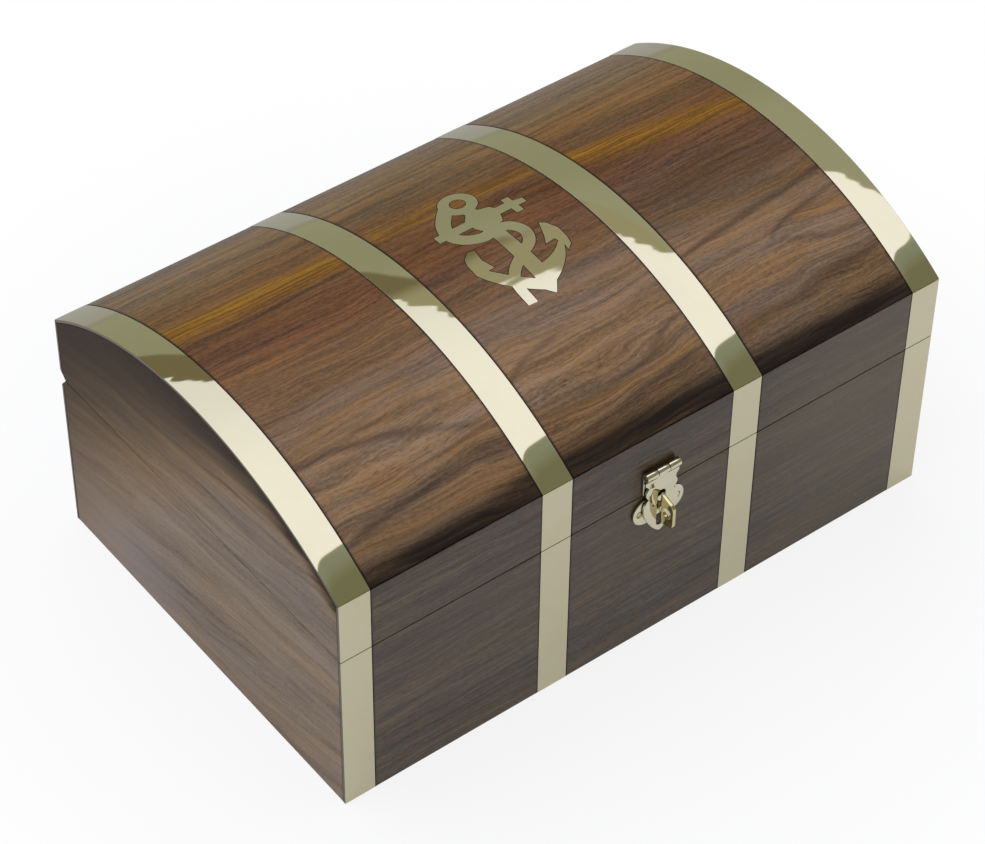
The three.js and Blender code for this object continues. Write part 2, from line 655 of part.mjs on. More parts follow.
function buildStaple() {
  const staple = new THREE.Group();
  staple.position.set(haspOffsetX, -halfWidth, stapleZ);
  chest.add(staple);
  const holes = stapleScrewPlaces.map((x) => faceFront(screwBody(fit)).translate(x, -fit - haspSheet, 0));
  const plate = cut(toSolid(outward(staplePlateShape(), fit, fit + haspSheet)), holes);
  addPart(staple, 'staple_plate', plate, polishedBrass);

  const options = { depth: eyeThickness, bevelEnabled: false, curveSegments: curveSteps };
  const eye = new THREE.ExtrudeGeometry(eyeShape(), options)
    .applyMatrix4(sectionFrame).translate(-eyeThickness / 2, 0, 0);
  const postTip = -(eyeRoot + eyeHoleReach - eyeHoleRadius) / 2;
  const post = rodAlongY(staplePostRadius, postTip, stapleRivetThickness);
  const rivet = rodAlongY(stapleRivetRadius, 0, stapleRivetThickness);
  addPart(staple, 'swivel_eye', joined([eye, post, rivet]), yellowBrass);
  stapleScrewPlaces.forEach((x, index) => {
    const fastener = addPart(staple, `staple_plate_screw_${index + 1}`, screw(), yellowBrass);
    fastener.rotation.x = Math.PI / 2;
    fastener.position.set(x, -fit - haspSheet, 0);
  });
}

buildBase();
buildLid();
buildStraps();
buildHinges();
buildHasp();
buildStaple();

export default chest;
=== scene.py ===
# The looks of a small domed sea chest: dark hardwood with brass straps let in flush, a brass anchor in the
# lid, two butt hinges, and a hasp over a swivel eye. Lengths are metres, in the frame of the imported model:
# X runs along the chest, the front faces -Y, Z is up, and the origin is the middle of the underside.
import json
from math import asin, atan2, cos, hypot, pi, radians, sin

import bmesh
import bpy
from mathutils import Matrix, Vector


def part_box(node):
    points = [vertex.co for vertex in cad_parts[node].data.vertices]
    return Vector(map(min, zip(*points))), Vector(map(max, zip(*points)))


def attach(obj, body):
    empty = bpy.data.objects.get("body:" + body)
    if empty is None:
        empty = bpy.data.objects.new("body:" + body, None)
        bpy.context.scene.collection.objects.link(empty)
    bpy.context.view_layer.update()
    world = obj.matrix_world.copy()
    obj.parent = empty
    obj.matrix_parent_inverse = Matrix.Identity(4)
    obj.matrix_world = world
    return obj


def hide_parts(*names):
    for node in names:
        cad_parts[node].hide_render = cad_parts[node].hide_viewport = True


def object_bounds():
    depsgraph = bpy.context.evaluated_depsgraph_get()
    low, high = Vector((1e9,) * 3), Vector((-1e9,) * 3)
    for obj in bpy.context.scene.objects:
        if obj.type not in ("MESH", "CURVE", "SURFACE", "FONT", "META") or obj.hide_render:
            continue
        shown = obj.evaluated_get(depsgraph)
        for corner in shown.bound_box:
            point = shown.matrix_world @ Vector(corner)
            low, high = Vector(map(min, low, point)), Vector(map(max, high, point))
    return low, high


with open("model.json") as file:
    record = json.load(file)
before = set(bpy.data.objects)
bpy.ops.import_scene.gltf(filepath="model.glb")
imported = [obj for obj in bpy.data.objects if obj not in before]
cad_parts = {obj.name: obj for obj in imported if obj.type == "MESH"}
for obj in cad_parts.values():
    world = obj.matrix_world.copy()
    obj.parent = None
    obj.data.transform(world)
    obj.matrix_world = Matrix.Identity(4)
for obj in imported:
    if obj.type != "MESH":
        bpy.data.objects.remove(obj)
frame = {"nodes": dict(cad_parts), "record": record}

MM = 0.001
NODES = frame["nodes"]
BODY_OF = {node: body for body, nodes in frame["record"]["behaviour"]["bodies"].items() for node in nodes}
STRAPS = ("left_end", "left_middle", "right_middle", "right_end")

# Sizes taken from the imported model
CAD_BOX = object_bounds()
FIT = 0.3 * MM
HALF_LENGTH = CAD_BOX[1].x
TOP = CAD_BOX[1].z
BACK_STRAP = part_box("base_back_strap_left_end")
HALF_WIDTH = BACK_STRAP[1].y
STRAP_THICKNESS = HALF_WIDTH - BACK_STRAP[0].y
STRAP_WIDTH = BACK_STRAP[1].x + HALF_LENGTH
INLAY_DEPTH = STRAP_THICKNESS + FIT
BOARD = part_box("lid_left_end")[1].x + HALF_LENGTH
BASE_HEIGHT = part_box("base_front_wall")[1].z
LID_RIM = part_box("lid_front_rail")[0].z
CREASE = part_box("lid_front_strap_left_end")[1].z + FIT
DOME_RISE = TOP - CREASE
DOME_RADIUS = (DOME_RISE ** 2 + HALF_WIDTH ** 2) / (2 * DOME_RISE)
DOME_CENTRE = TOP - DOME_RADIUS
HINGE_PIN = sum(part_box("left_hinge_pin"), Vector()) / 2
BEVEL_SLOPE = (BASE_HEIGHT - BACK_STRAP[1].z) / (HALF_WIDTH - STRAP_THICKNESS - HINGE_PIN.y)

# Small roundings, the slight crown that polishing leaves on a strap, and how finely the dome is divided
SHARP = radians(30)
FLAT = radians(0.5)
SAME_PLACE = 0.001 * MM
BRASS_EDGE = 0.06 * MM
CROWN = 0.06 * MM
CROWN_STEPS = 10
CROWN_LEAN = 4 * CROWN / STRAP_WIDTH
BEND_START = 70 * MM
BEND_LENGTH = 12 * MM
BEND_TWIST = radians(1.25)
WOOD_EDGE = 0.18 * MM
END_EDGE = 0.25 * MM
CARD_EDGE = 0.6 * MM
CREASE_EDGE = 0.9 * MM
GLUE_DEPTH = 0.05 * MM
DOME_STEP = radians(0.6)
DOME_SPREAD = radians(40)
STRAP_STEPS = 120
WALL_STEPS = 4


# Node graphs

class Graph:
    """Adds shader nodes to a tree and joins them, so that a material reads as a list of steps."""

    def __init__(self, tree):
        self.tree = tree
        tree.nodes.clear()

    def node(self, kind, inputs=None, **settings):
        made = self.tree.nodes.new(kind)
        for key, value in settings.items():
            setattr(made, key, value)
        for key, value in (inputs or {}).items():
            self.feed(made.inputs[key], value)
        return made

    def feed(self, socket, value):
        """Joins a socket to another node's, or sets it. Colours are written as red, green and blue."""
        if isinstance(value, bpy.types.NodeSocket):
            self.tree.links.new(value, socket)
        else:
            socket.default_value = (*value, 1) if socket.type == "RGBA" else value

    def math(self, operation, *values):
        made = self.node("ShaderNodeMath", operation=operation)
        for socket, value in zip(made.inputs, values):
            self.feed(socket, value)
        return made.outputs[0]

    def add(self, *values):
        total = values[0]
        for value in values[1:]:
            total = self.math("ADD", total, value)
        return total

    def less(self, value, taken):
        return self.math("SUBTRACT", value, taken)

    def times(self, *values):
        product = values[0]
        for value in values[1:]:
            product = self.math("MULTIPLY", product, value)
        return product

    def rise(self, value, low, high):
        """Goes smoothly from 0 at low to 1 at high."""
        inputs = {"Value": value, "From Min": low, "From Max": high}
        return self.node("ShaderNodeMapRange", inputs, interpolation_type="SMOOTHSTEP").outputs[0]

    def scaled(self, value, low, high, to_low, to_high):
        inputs = {"Value": value, "From Min": low, "From Max": high, "To Min": to_low, "To Max": to_high}
        return self.node("ShaderNodeMapRange", inputs).outputs[0]

    def near(self, value, centre, reach):
        """Is 1 where the value is at the centre, and falls smoothly to 0 at the reach on both sides."""
        away = self.math("ABSOLUTE", self.less(value, centre))
        return self.less(1, self.rise(self.math("DIVIDE", away, reach), 0, 1))

    def noise(self, place, along, across, deep, detail=2, roughness=0.5):
        """Noise at a place (along, across, deep in millimetres), with its own repeats in each direction."""
        scaled = [self.times(value, share) for value, share in zip(place, (along, across, deep))]
        vector = self.node("ShaderNodeCombineXYZ", dict(zip("XYZ", scaled))).outputs[0]
        inputs = {"Vector": vector, "Scale": 1, "Detail": detail, "Roughness": roughness}
        return self.node("ShaderNodeTexNoise", inputs).outputs["Fac"]

    def mix(self, share, first, second, blend="MIX"):
        made = self.node("ShaderNodeMix", data_type="RGBA", blend_type=blend)
        for index, value in ((0, share), (6, first), (7, second)):
            self.feed(made.inputs[index], value)
        return made.outputs[2]

    def ramp(self, value, stops):
        made = self.node("ShaderNodeValToRGB", {"Fac": value})
        elements = made.color_ramp.elements
        for index, (place, *colour) in enumerate(stops):
            element = elements[index] if index < 2 else elements.new(place)
            element.position = place
            element.color = (*colour, 1)
        return made.outputs[0]

    def bump(self, height, distance, strength=1):
        inputs = {"Height": height, "Distance": distance, "Strength": strength}
        return self.node("ShaderNodeBump", inputs).outputs[0]

    def principled(self, **inputs):
        named = {key.replace("_", " "): value for key, value in inputs.items()}
        self.finish(self.node("ShaderNodeBsdfPrincipled", named))

    def finish(self, shader, kind="ShaderNodeOutputMaterial"):
        self.tree.links.new(shader.outputs[0], self.node(kind).inputs[0])


MATERIALS = {}


def new_material(name):
    """Starts a material, kept under its name, which is its slot's as well, and gives its graph."""
    MATERIALS[name] = bpy.data.materials.new(name)
    MATERIALS[name].use_nodes = True
    return Graph(MATERIALS[name].node_tree)


# Wood

PURPLISH = (0.90, 0.96, 1.10)
ORANGE = (1.16, 1.02, 0.72)
SOAK_REACH = 1.5
SOAK_STRENGTH = 0.95
SOAK_DEPTH = INLAY_DEPTH / MM
SOAKED = (0.012, 0.007, 0.006)


def rest_place(graph):
    """The place on the object at rest, in millimetres, which stays with a piece when it moves."""
    where = graph.node("ShaderNodeTexCoord").outputs["Object"]
    parts = graph.node("ShaderNodeSeparateXYZ", {"Vector": where}).outputs
    return [graph.times(part, 1 / MM) for part in parts]


def around_dome(graph, y, z):
    """How far round the dome a place lies, from the top to the front, and how far out from the arc's axis."""
    above = graph.less(z, DOME_CENTRE / MM)
    angle = graph.math("ARCTAN2", graph.times(y, -1), above)
    radius = graph.math("SQRT", graph.add(graph.times(y, y), graph.times(above, above)))
    return graph.times(angle, DOME_RADIUS / MM), radius


class Grain:
    """The figure of one board: broad bands, streaks and fibres, all along the grain."""

    def __init__(self, graph, along, across, deep, warp, seed):
        self.graph = graph
        self.along = along
        self.deep = graph.add(deep, seed)
        place = (along, across, self.deep)
        slow = graph.noise(place, 0.011, 0.028, 0.02)
        drift = graph.noise(place, 0.045, 0.09, 0.05, detail=1)
        self.bend = graph.less(slow, 0.5)
        waves = graph.add(graph.times(self.bend, warp), graph.scaled(drift, 0, 1, -1.6, 1.6))
        self.across = graph.add(across, waves)

    def layer(self, along, across, detail=3, roughness=0.55):
        place = (self.along, self.across, self.deep)
        return self.graph.noise(place, along, across, across / 3, detail, roughness)

    def wave(self, along, across, gain, **settings):
        """A layer that swings about zero."""
        return self.graph.times(self.graph.less(self.layer(along, across, **settings), 0.5), gain)

    def fine(self, fibre, fleck):
        """Fibres and short flecks, the finest part of the figure."""
        flecks = self.wave(0.45, 1.9, fleck, detail=2, roughness=0.7)
        return self.graph.add(self.wave(0.05, 1.5, fibre), flecks)

    def tone(self, bands, streaks, *fine):
        """How light the wood is: bands and streaks are (along, across, gain)."""
        parts = [self.wave(*bands), self.wave(*streaks)]
        if fine:
            parts.append(self.fine(*fine))
        return self.graph.add(0.5, *parts)

    def pores(self, share):
        """Short dark lines along the grain, where the vessels are cut."""
        line = self.graph.rise(self.layer(0.28, 3.2, detail=1), 0.60, 0.74)
        patch = self.graph.rise(self.layer(0.02, 0.12, detail=1), 0.3, 0.7)
        return self.graph.times(line, patch, share)

    def tinted(self, colour, share):
        """A colour with patches that lean to orange and others that lean to a purplish brown."""
        patch = self.graph.scaled(self.layer(0.010, 0.075, roughness=0.65), 0.36, 0.64, 0, 1)
        hue = self.graph.mix(patch, PURPLISH, ORANGE)
        return self.graph.mix(share, colour, self.graph.mix(1.0, colour, hue, "MULTIPLY"))

    def surface(self, colour, roughness, gloss):
        graph = self.graph
        height = graph.add(self.layer(0.06, 1.6), self.pores(-1.2))
        graph.principled(
            Base_Color=colour,
            Roughness=graph.scaled(self.layer(0.03, 0.5), 0.3, 0.7, roughness - 0.04, roughness + 0.05),
            Normal=graph.bump(height, 0.02 * MM, 0.5),
            Specular_IOR_Level=gloss,
        )


def beside_straps(graph, x, depth):
    """Dark edges where mastic has soaked into the wood beside the straps, no deeper than their grooves."""
    away = graph.math("ABSOLUTE", x)
    edges = [*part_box("base_front_strap_right_middle"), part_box("base_front_strap_right_end")[0]]
    lines = [graph.near(away, edge.x / MM, SOAK_REACH) for edge in edges]
    shallow = graph.rise(depth, SOAK_DEPTH + 0.5, SOAK_DEPTH)
    return graph.times(graph.add(*lines), shallow, SOAK_STRENGTH)


# Each wood's bands and streaks, as repeats per millimetre along and across the grain and strength, and then
# how strong its fibres and flecks are
WALL_FIGURE = ((0.004, 0.085, 1.2), (0.011, 0.42, 1.5), 1.8, 1.7)
END_FIGURE = ((0.005, 0.055, 0.75), (0.012, 0.28, 0.95), 0.95, 0.9)
DOME_FIGURE = ((0.006, 0.10, 1.2), (0.012, 0.45, 1.4), 1.5, 1.6)
INNER_FIGURE = ((0.005, 0.1, 0.9), (0.02, 0.8, 0.6))

WALL_STOPS = (
    (0.0, 0.024, 0.016, 0.012),
    (0.42, 0.066, 0.046, 0.033),
    (0.68, 0.098, 0.069, 0.047),
    (1.0, 0.160, 0.104, 0.060),
)
WALL_BAND = (0.122, 0.078, 0.046)
WALL_TOP = (0.040, 0.026, 0.019)
WALL_RIGHT_BAY = (0.145, 0.110, 0.070)
WALL_PORE = (0.020, 0.012, 0.010)
END_STOPS = (
    (0.0, 0.095, 0.068, 0.048),
    (0.38, 0.184, 0.142, 0.106),
    (0.65, 0.236, 0.184, 0.138),
    (1.0, 0.305, 0.228, 0.158),
)
END_PORE = (0.040, 0.024, 0.016)
END_PALE = (0.272, 0.230, 0.212)
END_PAINTED_SHADE = (0.022, 0.014, 0.010)
PAINTED_SHADE_WARMTH = (1.12, 0.98, 0.74)


def wall_wood():
    graph = new_material("dark_wood")
    x, y, z = rest_place(graph)
    grain = Grain(graph, x, z, y, 9, 40)
    colour = graph.ramp(grain.tone(*WALL_FIGURE), WALL_STOPS)
    colour = graph.mix(graph.times(graph.near(z, 68, 42), 0.35), colour, WALL_BAND)
    colour = graph.mix(graph.times(graph.rise(z, 90, 112), 0.25), colour, WALL_TOP)
    colour = graph.mix(graph.times(graph.rise(x, 40, 100), 0.48), colour, WALL_RIGHT_BAY)
    colour = grain.tinted(colour, 0.6)
    colour = graph.mix(grain.pores(0.5), colour, WALL_PORE)
    depth = graph.less(HALF_WIDTH / MM, graph.math("ABSOLUTE", y))
    colour = graph.mix(beside_straps(graph, x, depth), colour, SOAKED)
    grain.surface(colour, 0.34, 0.36)


def end_wood():
    """The end boards' grain climbs a little to the front. Under the arch they carry painted shade, warmer at
    its rim.
    """
    graph = new_material("end_grain_wood")
    x, y, z = rest_place(graph)
    climb = graph.add(z, graph.times(y, 0.16))
    grain = Grain(graph, y, climb, x, 12, 90)
    colour = grain.tinted(graph.ramp(grain.tone(*END_FIGURE), END_STOPS), 0.35)
    colour = graph.mix(grain.pores(0.5), colour, END_PORE)
    pale = graph.times(graph.rise(z, 76, 10), graph.rise(y, -10, 70), 0.62)
    colour = graph.mix(pale, colour, END_PALE)
    # Painted shade: a dark band under the arch, widest at the back, with a warmer rim round it
    inside = graph.less((DOME_RADIUS - INLAY_DEPTH) / MM, around_dome(graph, y, z)[1])
    ragged = graph.add(inside, grain.wave(0.02, 0.15, 14))
    shade_width = graph.add(8, graph.times(graph.rise(y, -75, 80), 92))
    into_shade = graph.math("DIVIDE", ragged, shade_width)
    warmer = graph.mix(1.0, colour, PAINTED_SHADE_WARMTH, "MULTIPLY")
    colour = graph.mix(graph.times(graph.rise(into_shade, 1.2, 0.55), 0.9), colour, warmer)
    colour = graph.mix(graph.times(graph.rise(into_shade, 1.0, 0.0), 0.92), colour, END_PAINTED_SHADE)
    grain.surface(colour, 0.4, 0.02)


# The dome's board, by how far round a place lies: 0 at the back crease and 1 at the front one
# In both ramps the last two stops, by the front crease, are darker as part of the painted shade there
DOME_LIGHT_STOPS = (
    (0.0, 0.165, 0.095, 0.040),
    (0.12, 0.225, 0.135, 0.052),
    (0.25, 0.232, 0.120, 0.045),
    (0.34, 0.205, 0.098, 0.036),
    (0.42, 0.195, 0.082, 0.030),
    (0.50, 0.215, 0.098, 0.045),
    (0.60, 0.245, 0.135, 0.070),
    (0.70, 0.310, 0.192, 0.114),
    (0.80, 0.350, 0.222, 0.138),
    (0.86, 0.345, 0.217, 0.132),
    (0.91, 0.295, 0.180, 0.104),
    (0.95, 0.235, 0.145, 0.082),
    (1.0, 0.160, 0.100, 0.062),
)
DOME_DARK_STOPS = (
    (0.0, 0.045, 0.030, 0.014),
    (0.25, 0.066, 0.036, 0.015),
    (0.42, 0.055, 0.022, 0.009),
    (0.50, 0.070, 0.032, 0.015),
    (0.60, 0.095, 0.055, 0.030),
    (0.70, 0.133, 0.084, 0.048),
    (0.80, 0.150, 0.093, 0.055),
    (0.86, 0.140, 0.086, 0.050),
    (0.91, 0.105, 0.063, 0.036),
    (0.95, 0.065, 0.042, 0.027),
    (1.0, 0.036, 0.024, 0.017),
)

DOME_CREASE_PAINTED_SHADE = (0.014, 0.008, 0.007)
DOME_PORE = (0.020, 0.010, 0.008)
GOLDEN = ((0.150, 0.060, 0.004), (0.345, 0.165, 0.006))
RUDDY = ((0.185, 0.090, 0.036), (0.360, 0.190, 0.060))
DARK = (0.026, 0.014, 0.010)

# Streaks in the dome's figure. Each starts at one place and ends at another, in millimetres along the chest
# and round the dome to the front. Then come how far it bows to the front, its width and its strength.
GOLD_STREAKS = (
    (-143, -34, -44, -30, -3, 12, 0.95),
    (-143, -26, -62, -26, -2, 4, 0.5),
    (-46, -36, 44, -30, -1, 8, 0.7),
    (46, -27, 144, -9, 0, 12, 0.85),
    (54, -50, 128, -38, 0, 8, 0.2),
    (56, 26, 140, 34, 4, 5, 0.35),
)
RUDDY_STREAKS = (
    (-132, 44, -70, 40, -2, 8, 0.65),
    (-120, 58, -92, 66, 5, 9, 0.8),
    (-84, 74, -44, 66, 0, 7, 0.65),
    (-38, 47, 10, 58, 0, 8, 0.3),
    (-24, 62, 38, 74, 2, 8, 0.35),
    (-44, 76, 44, 80, 1, 5, 0.6),
    (50, 62, 110, 66, 6, 8, 0.6),
    (104, 50, 142, 54, 2, 7, 0.8),
    (-150, 8, -40, 14, 0, 17, 0.5),
)
DARK_STREAKS = (
    (-143, 50, -60, 68, -5, 3, 0.55),
    (-116, 44, -62, 52, 2, 2.5, 0.4),
    (-136, 86, -46, 78, -4, 5, 0.65),
    (-46, 62, -8, 50, -3, 2.5, 0.45),
    (-46, 74, 44, 66, 6, 2.5, 0.45),
    (-30, 88, 44, 84, -2, 2.5, 0.6),
    (46, 50, 146, 37, -3, 3, 0.7),
    (88, 62, 146, 46, -4, 2.5, 0.5),
    (92, 60, 146, 66, 4, 2.5, 0.45),
    (46, 84, 146, 76, 3, 4, 0.65),
    (40, 21, 156, 19, 0, 24, 0.4),
)


def streaks(graph, x, across, table):
    """How strongly any of the streaks in a table shows at a place."""
    strongest = 0.0
    for start_x, start, end_x, end, bow, width, strength in table:
        share = graph.scaled(x, start_x, end_x, 0, 1)
        bowed = graph.times(share, graph.less(1, share), 4 * bow)
        line = graph.add(start, graph.times(share, end - start), bowed)
        ends = graph.times(graph.rise(x, start_x - 4, start_x + 12), graph.rise(x, end_x + 4, end_x - 12))
        shown = graph.times(graph.near(across, line, width), ends, strength)
        strongest = graph.math("MAXIMUM", strongest, shown)
    return strongest


def dome_wood():
    """One broad figured board: dark red at the top, golden streaks behind it, and a wavy figure in front."""
    graph = new_material("dome_wood")
    x, y, z = rest_place(graph)
    round_dome, radius = around_dome(graph, y, z)
    front = graph.rise(round_dome, 20, 60)
    grain = Grain(graph, x, round_dome, radius, graph.add(7, graph.times(front, 12)), 15)
    rings = graph.noise((grain.across, x, 3.7), 0.13, 0.006, 1, 3, 0.6)
    tone = graph.add(grain.tone(*DOME_FIGURE), graph.times(graph.less(rings, 0.5), 1.2, front))
    edge = DOME_RADIUS / MM * asin(HALF_WIDTH / DOME_RADIUS)
    share = graph.scaled(round_dome, -edge, edge, 0, 1)
    colour = graph.mix(tone, graph.ramp(share, DOME_DARK_STOPS), graph.ramp(share, DOME_LIGHT_STOPS))

    colour = grain.tinted(colour, 0.75)
    thread = graph.rise(graph.add(grain.layer(0.012, 0.9), grain.fine(0.4, 0.3)), 0.36, 0.64)
    golden = graph.mix(thread, *GOLDEN)
    ruddy = graph.mix(thread, *RUDDY)
    patchy = graph.scaled(grain.layer(0.014, 0.2), 0.3, 0.6, 0.5, 1)
    for table, streak in ((GOLD_STREAKS, golden), (RUDDY_STREAKS, ruddy), (DARK_STREAKS, DARK)):
        colour = graph.mix(graph.times(streaks(graph, x, grain.across, table), patchy), colour, streak)

    # Painted shade: a dark band with a ragged edge along the front crease
    shade_line = graph.add(edge, graph.times(grain.bend, 16))
    shade = graph.rise(round_dome, graph.add(shade_line, -13), graph.add(shade_line, -5))
    shade = graph.times(shade, graph.scaled(grain.layer(0.012, 0.3), 0.35, 0.6, 0.55, 0.95))
    colour = graph.mix(shade, colour, DOME_CREASE_PAINTED_SHADE)
    colour = graph.mix(grain.pores(0.6), colour, DOME_PORE)
    colour = graph.mix(beside_straps(graph, x, graph.less(DOME_RADIUS / MM, radius)), colour, SOAKED)
    grain.surface(colour, 0.3, 0.13)


def inner_wood():
    graph = new_material("inner_wood")
    x, y, z = rest_place(graph)
    grain = Grain(graph, x, y, z, 12, 60)
    colour = graph.mix(grain.tone(*INNER_FIGURE), (0.090, 0.050, 0.027), (0.200, 0.120, 0.070))
    grain.surface(colour, 0.55, 0.3)


# Brass, mastic and cloth

DULL_BRASS = (0.050, 0.042, 0.026)
BRASS_SWELL = 0.03 * MM


def brass(name, colour, tarnish, roughness):
    """Polished brass with faint tarnish, not quite flat. It is dull where it faces the chest's ends."""
    graph = new_material(name)
    place = rest_place(graph)
    cloud = graph.noise(place, 0.05, 0.05, 0.05, detail=3, roughness=0.6)
    mark = graph.noise(place, 0.5, 0.8, 0.2)
    base = graph.mix(graph.times(graph.rise(cloud, 0.45, 0.8), 0.25), colour, tarnish)
    side = graph.rise(graph.math("ABSOLUTE", place[0]), HALF_LENGTH / MM - 0.12, HALF_LENGTH / MM - 0.04)
    base = graph.mix(graph.times(side, 0.85), base, DULL_BRASS)
    spread = graph.scaled(mark, 0.3, 0.7, roughness * 0.8, roughness * 1.25)
    spread = graph.add(spread, graph.times(side, 0.35))
    swell = graph.noise(place, 0.07, 0.07, 0.07, detail=1)
    graph.principled(Base_Color=base, Roughness=spread, Normal=graph.bump(swell, BRASS_SWELL), Metallic=1)


def mastic():
    graph = new_material("joint_mastic")
    place = rest_place(graph)
    grit = graph.noise(place, 1.5, 1.5, 1.5)
    colour = graph.mix(grit, (0.003, 0.002, 0.002), (0.008, 0.006, 0.005))
    spread = graph.scaled(grit, 0.2, 0.8, 0.6, 0.8)
    graph.principled(Base_Color=colour, Roughness=spread, Specular_IOR_Level=0.1)


def liner_cloth():
    graph = new_material("liner_cloth")
    place = rest_place(graph)
    nap = graph.noise(place, 2.4, 2.4, 2.4, detail=3, roughness=0.7)
    brushed = graph.noise(place, 0.03, 0.05, 0.05, detail=3)
    colour = graph.mix(nap, (0.060, 0.005, 0.008), (0.190, 0.018, 0.026))
    colour = graph.mix(graph.times(graph.rise(brushed, 0.45, 0.7), 0.35), colour, (0.230, 0.030, 0.040))
    spread = graph.scaled(nap, 0.2, 0.8, 0.85, 1.0)
    pile = graph.bump(nap, 0.25 * MM, 0.8)
    graph.principled(Base_Color=colour, Roughness=spread, Normal=pile, Sheen_Weight=0.35)


wall_wood()
end_wood()
dome_wood()
inner_wood()
liner_cloth()
mastic()
brass("polished_brass", (0.545, 0.505, 0.345), (0.470, 0.430, 0.270), 0.03)
brass("plated_brass", (0.620, 0.585, 0.440), (0.560, 0.500, 0.300), 0.08)
brass("yellow_brass", (0.580, 0.510, 0.270), (0.440, 0.360, 0.130), 0.11)


# Meshes

def placed(name, data):
    made = bpy.data.objects.new(name, data)
    bpy.context.scene.collection.objects.link(made)
    return made


def finished(mesh, slot, node=None, name=None, body=None, flats=False):
    """Makes a mesh into a piece that rides on its body and stands for its CAD node, if it has one."""
    name = name or f"{node}_brass"
    mesh.name = name
    mesh.materials.clear()
    mesh.materials.append(MATERIALS[slot])
    mesh.shade_smooth()
    mesh.set_sharp_from_angle(angle=SHARP)
    piece = placed(name, mesh)
    if flats:
        piece.modifiers.new("flat_faces", "WEIGHTED_NORMAL").keep_sharp = True
    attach(piece, body or BODY_OF[node])
    if node:
        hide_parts(node)
    return piece


def mesh_of(bm):
    bmesh.ops.recalc_face_normals(bm, faces=bm.faces)
    mesh = bpy.data.meshes.new("shape")
    bm.to_mesh(mesh)
    bm.free()
    return mesh


def loft(bm, rings):
    """Joins rings of points, each with as many as the next, into one closed skin with flat ends."""
    made = [[bm.verts.new(point) for point in ring] for ring in rings]
    count = len(made[0])
    for first, second in zip(made, made[1:]):
        for index in range(count):
            after = (index + 1) % count
            bm.faces.new((first[index], first[after], second[after], second[index]))
    bm.faces.new(made[0][::-1])
    bm.faces.new(made[-1])


def quarter(count=4):
    """Angles from 0 to 90 degrees."""
    return [pi / 2 * index / count for index in range(count + 1)]


def rounded(radius, count=4):
    """A rounded edge, as pairs: how far in and how far down each of its points is."""
    return [(radius * (1 - cos(angle)), radius * (1 - sin(angle))) for angle in quarter(count)]


def on_dome(inset, share):
    """Y and Z on the arc at an inset. Share goes from -1 at the front crease to 1 at the back one."""
    radius = DOME_RADIUS - inset
    angle = asin((HALF_WIDTH - inset) / radius) * share
    return radius * sin(angle), DOME_CENTRE + radius * cos(angle)


def over_dome(share, x, inset):
    """A path over the dome: share goes from 0 at the front crease to 1 at the back one."""
    return Vector((x, *on_dome(inset, 2 * share - 1)))


def up_wall(side, low, high):
    """A path up the front wall for side -1, or the back one for side 1. Its heights follow the inset."""
    def path(share, x, inset):
        height = low(inset) + share * (high(inset) - low(inset))
        return Vector((x, side * (HALF_WIDTH - inset), height))
    return path


def bar(bm, section, path, length, steps, rounding=0.0, short=0.0):
    """Carries a section of (x, inset) points along a path. The ends' surface edges are rounded as well."""
    turns = rounded(rounding) if rounding else [(0, 0)]
    start = [((short + away) / length, drop) for away, drop in turns]
    inner = start[-1][0]
    middle = [(inner + (1 - 2 * inner) * step / steps, 0) for step in range(1, steps)]
    stations = start + middle + [(1 - share, drop) for share, drop in reversed(start)]
    loft(bm, [[path(share, x, max(inset, drop)) for x, inset in section] for share, drop in stations])


def strap_section(low, high):
    """A bar between two places along X, with a slight crown and its two surface edges rounded."""
    turns = [(away, CROWN + drop) for away, drop in rounded(BRASS_EDGE)]
    left = [(low + away, drop) for away, drop in turns]
    right = [(high - away, drop) for away, drop in reversed(turns)]
    middle, half = (low + high) / 2, (high - low) / 2 - BRASS_EDGE
    sides = [2 * step / CROWN_STEPS - 1 for step in range(1, CROWN_STEPS)]
    crown = [(middle + half * side, CROWN * side ** 2) for side in sides]
    return [(low, STRAP_THICKNESS), *left, *crown, *right, (high, STRAP_THICKNESS)]


def glue_section(low, high):
    """Mastic under a strap and up both its sides. At the ends of the chest it has no outer side."""
    def side(edge, outward):
        if abs(edge) > HALF_LENGTH - FIT:
            inside = edge - outward * GLUE_DEPTH
            return [(inside, INLAY_DEPTH), (inside, STRAP_THICKNESS)]
        beyond = edge + outward * FIT
        return [(beyond, INLAY_DEPTH), (beyond, GLUE_DEPTH), (edge, GLUE_DEPTH), (edge, STRAP_THICKNESS)]

    return [*side(low, -1), *reversed(side(high, 1))]


def true_arcs(bm, insets):
    """Cuts the dome's flat facets finely and moves the new corners out to the true arcs."""
    centre = Vector((0, 0, DOME_CENTRE))
    facet_depth = 0.06 * MM
    count = int(DOME_SPREAD / DOME_STEP)
    for index in range(-count, count + 1):
        angle = index * DOME_STEP + DOME_STEP / 3
        across = (0, cos(angle), -sin(angle))
        everything = bm.verts[:] + bm.edges[:] + bm.faces[:]
        bmesh.ops.bisect_plane(bm, geom=everything, plane_co=centre, plane_no=across)
    for vert in bm.verts:
        radius = hypot(vert.co.y, vert.co.z - DOME_CENTRE)
        for inset in insets:
            if abs(radius - (DOME_RADIUS - inset)) < facet_depth:
                grow = (DOME_RADIUS - inset) / radius
                vert.co.y *= grow
                vert.co.z = DOME_CENTRE + (vert.co.z - DOME_CENTRE) * grow


def cad_mesh(node, arcs=()):
    """The CAD node's own shape with its flat faces whole again, and its arcs finely divided."""
    bm = bmesh.new()
    bm.from_mesh(NODES[node].data)
    bmesh.ops.remove_doubles(bm, verts=bm.verts, dist=2 * SAME_PLACE)
    bmesh.ops.dissolve_limit(bm, angle_limit=FLAT, verts=bm.verts, edges=bm.edges)
    if arcs:
        true_arcs(bm, arcs)
        bmesh.ops.dissolve_limit(bm, angle_limit=FLAT / 5, verts=bm.verts, edges=bm.edges)
    return bm


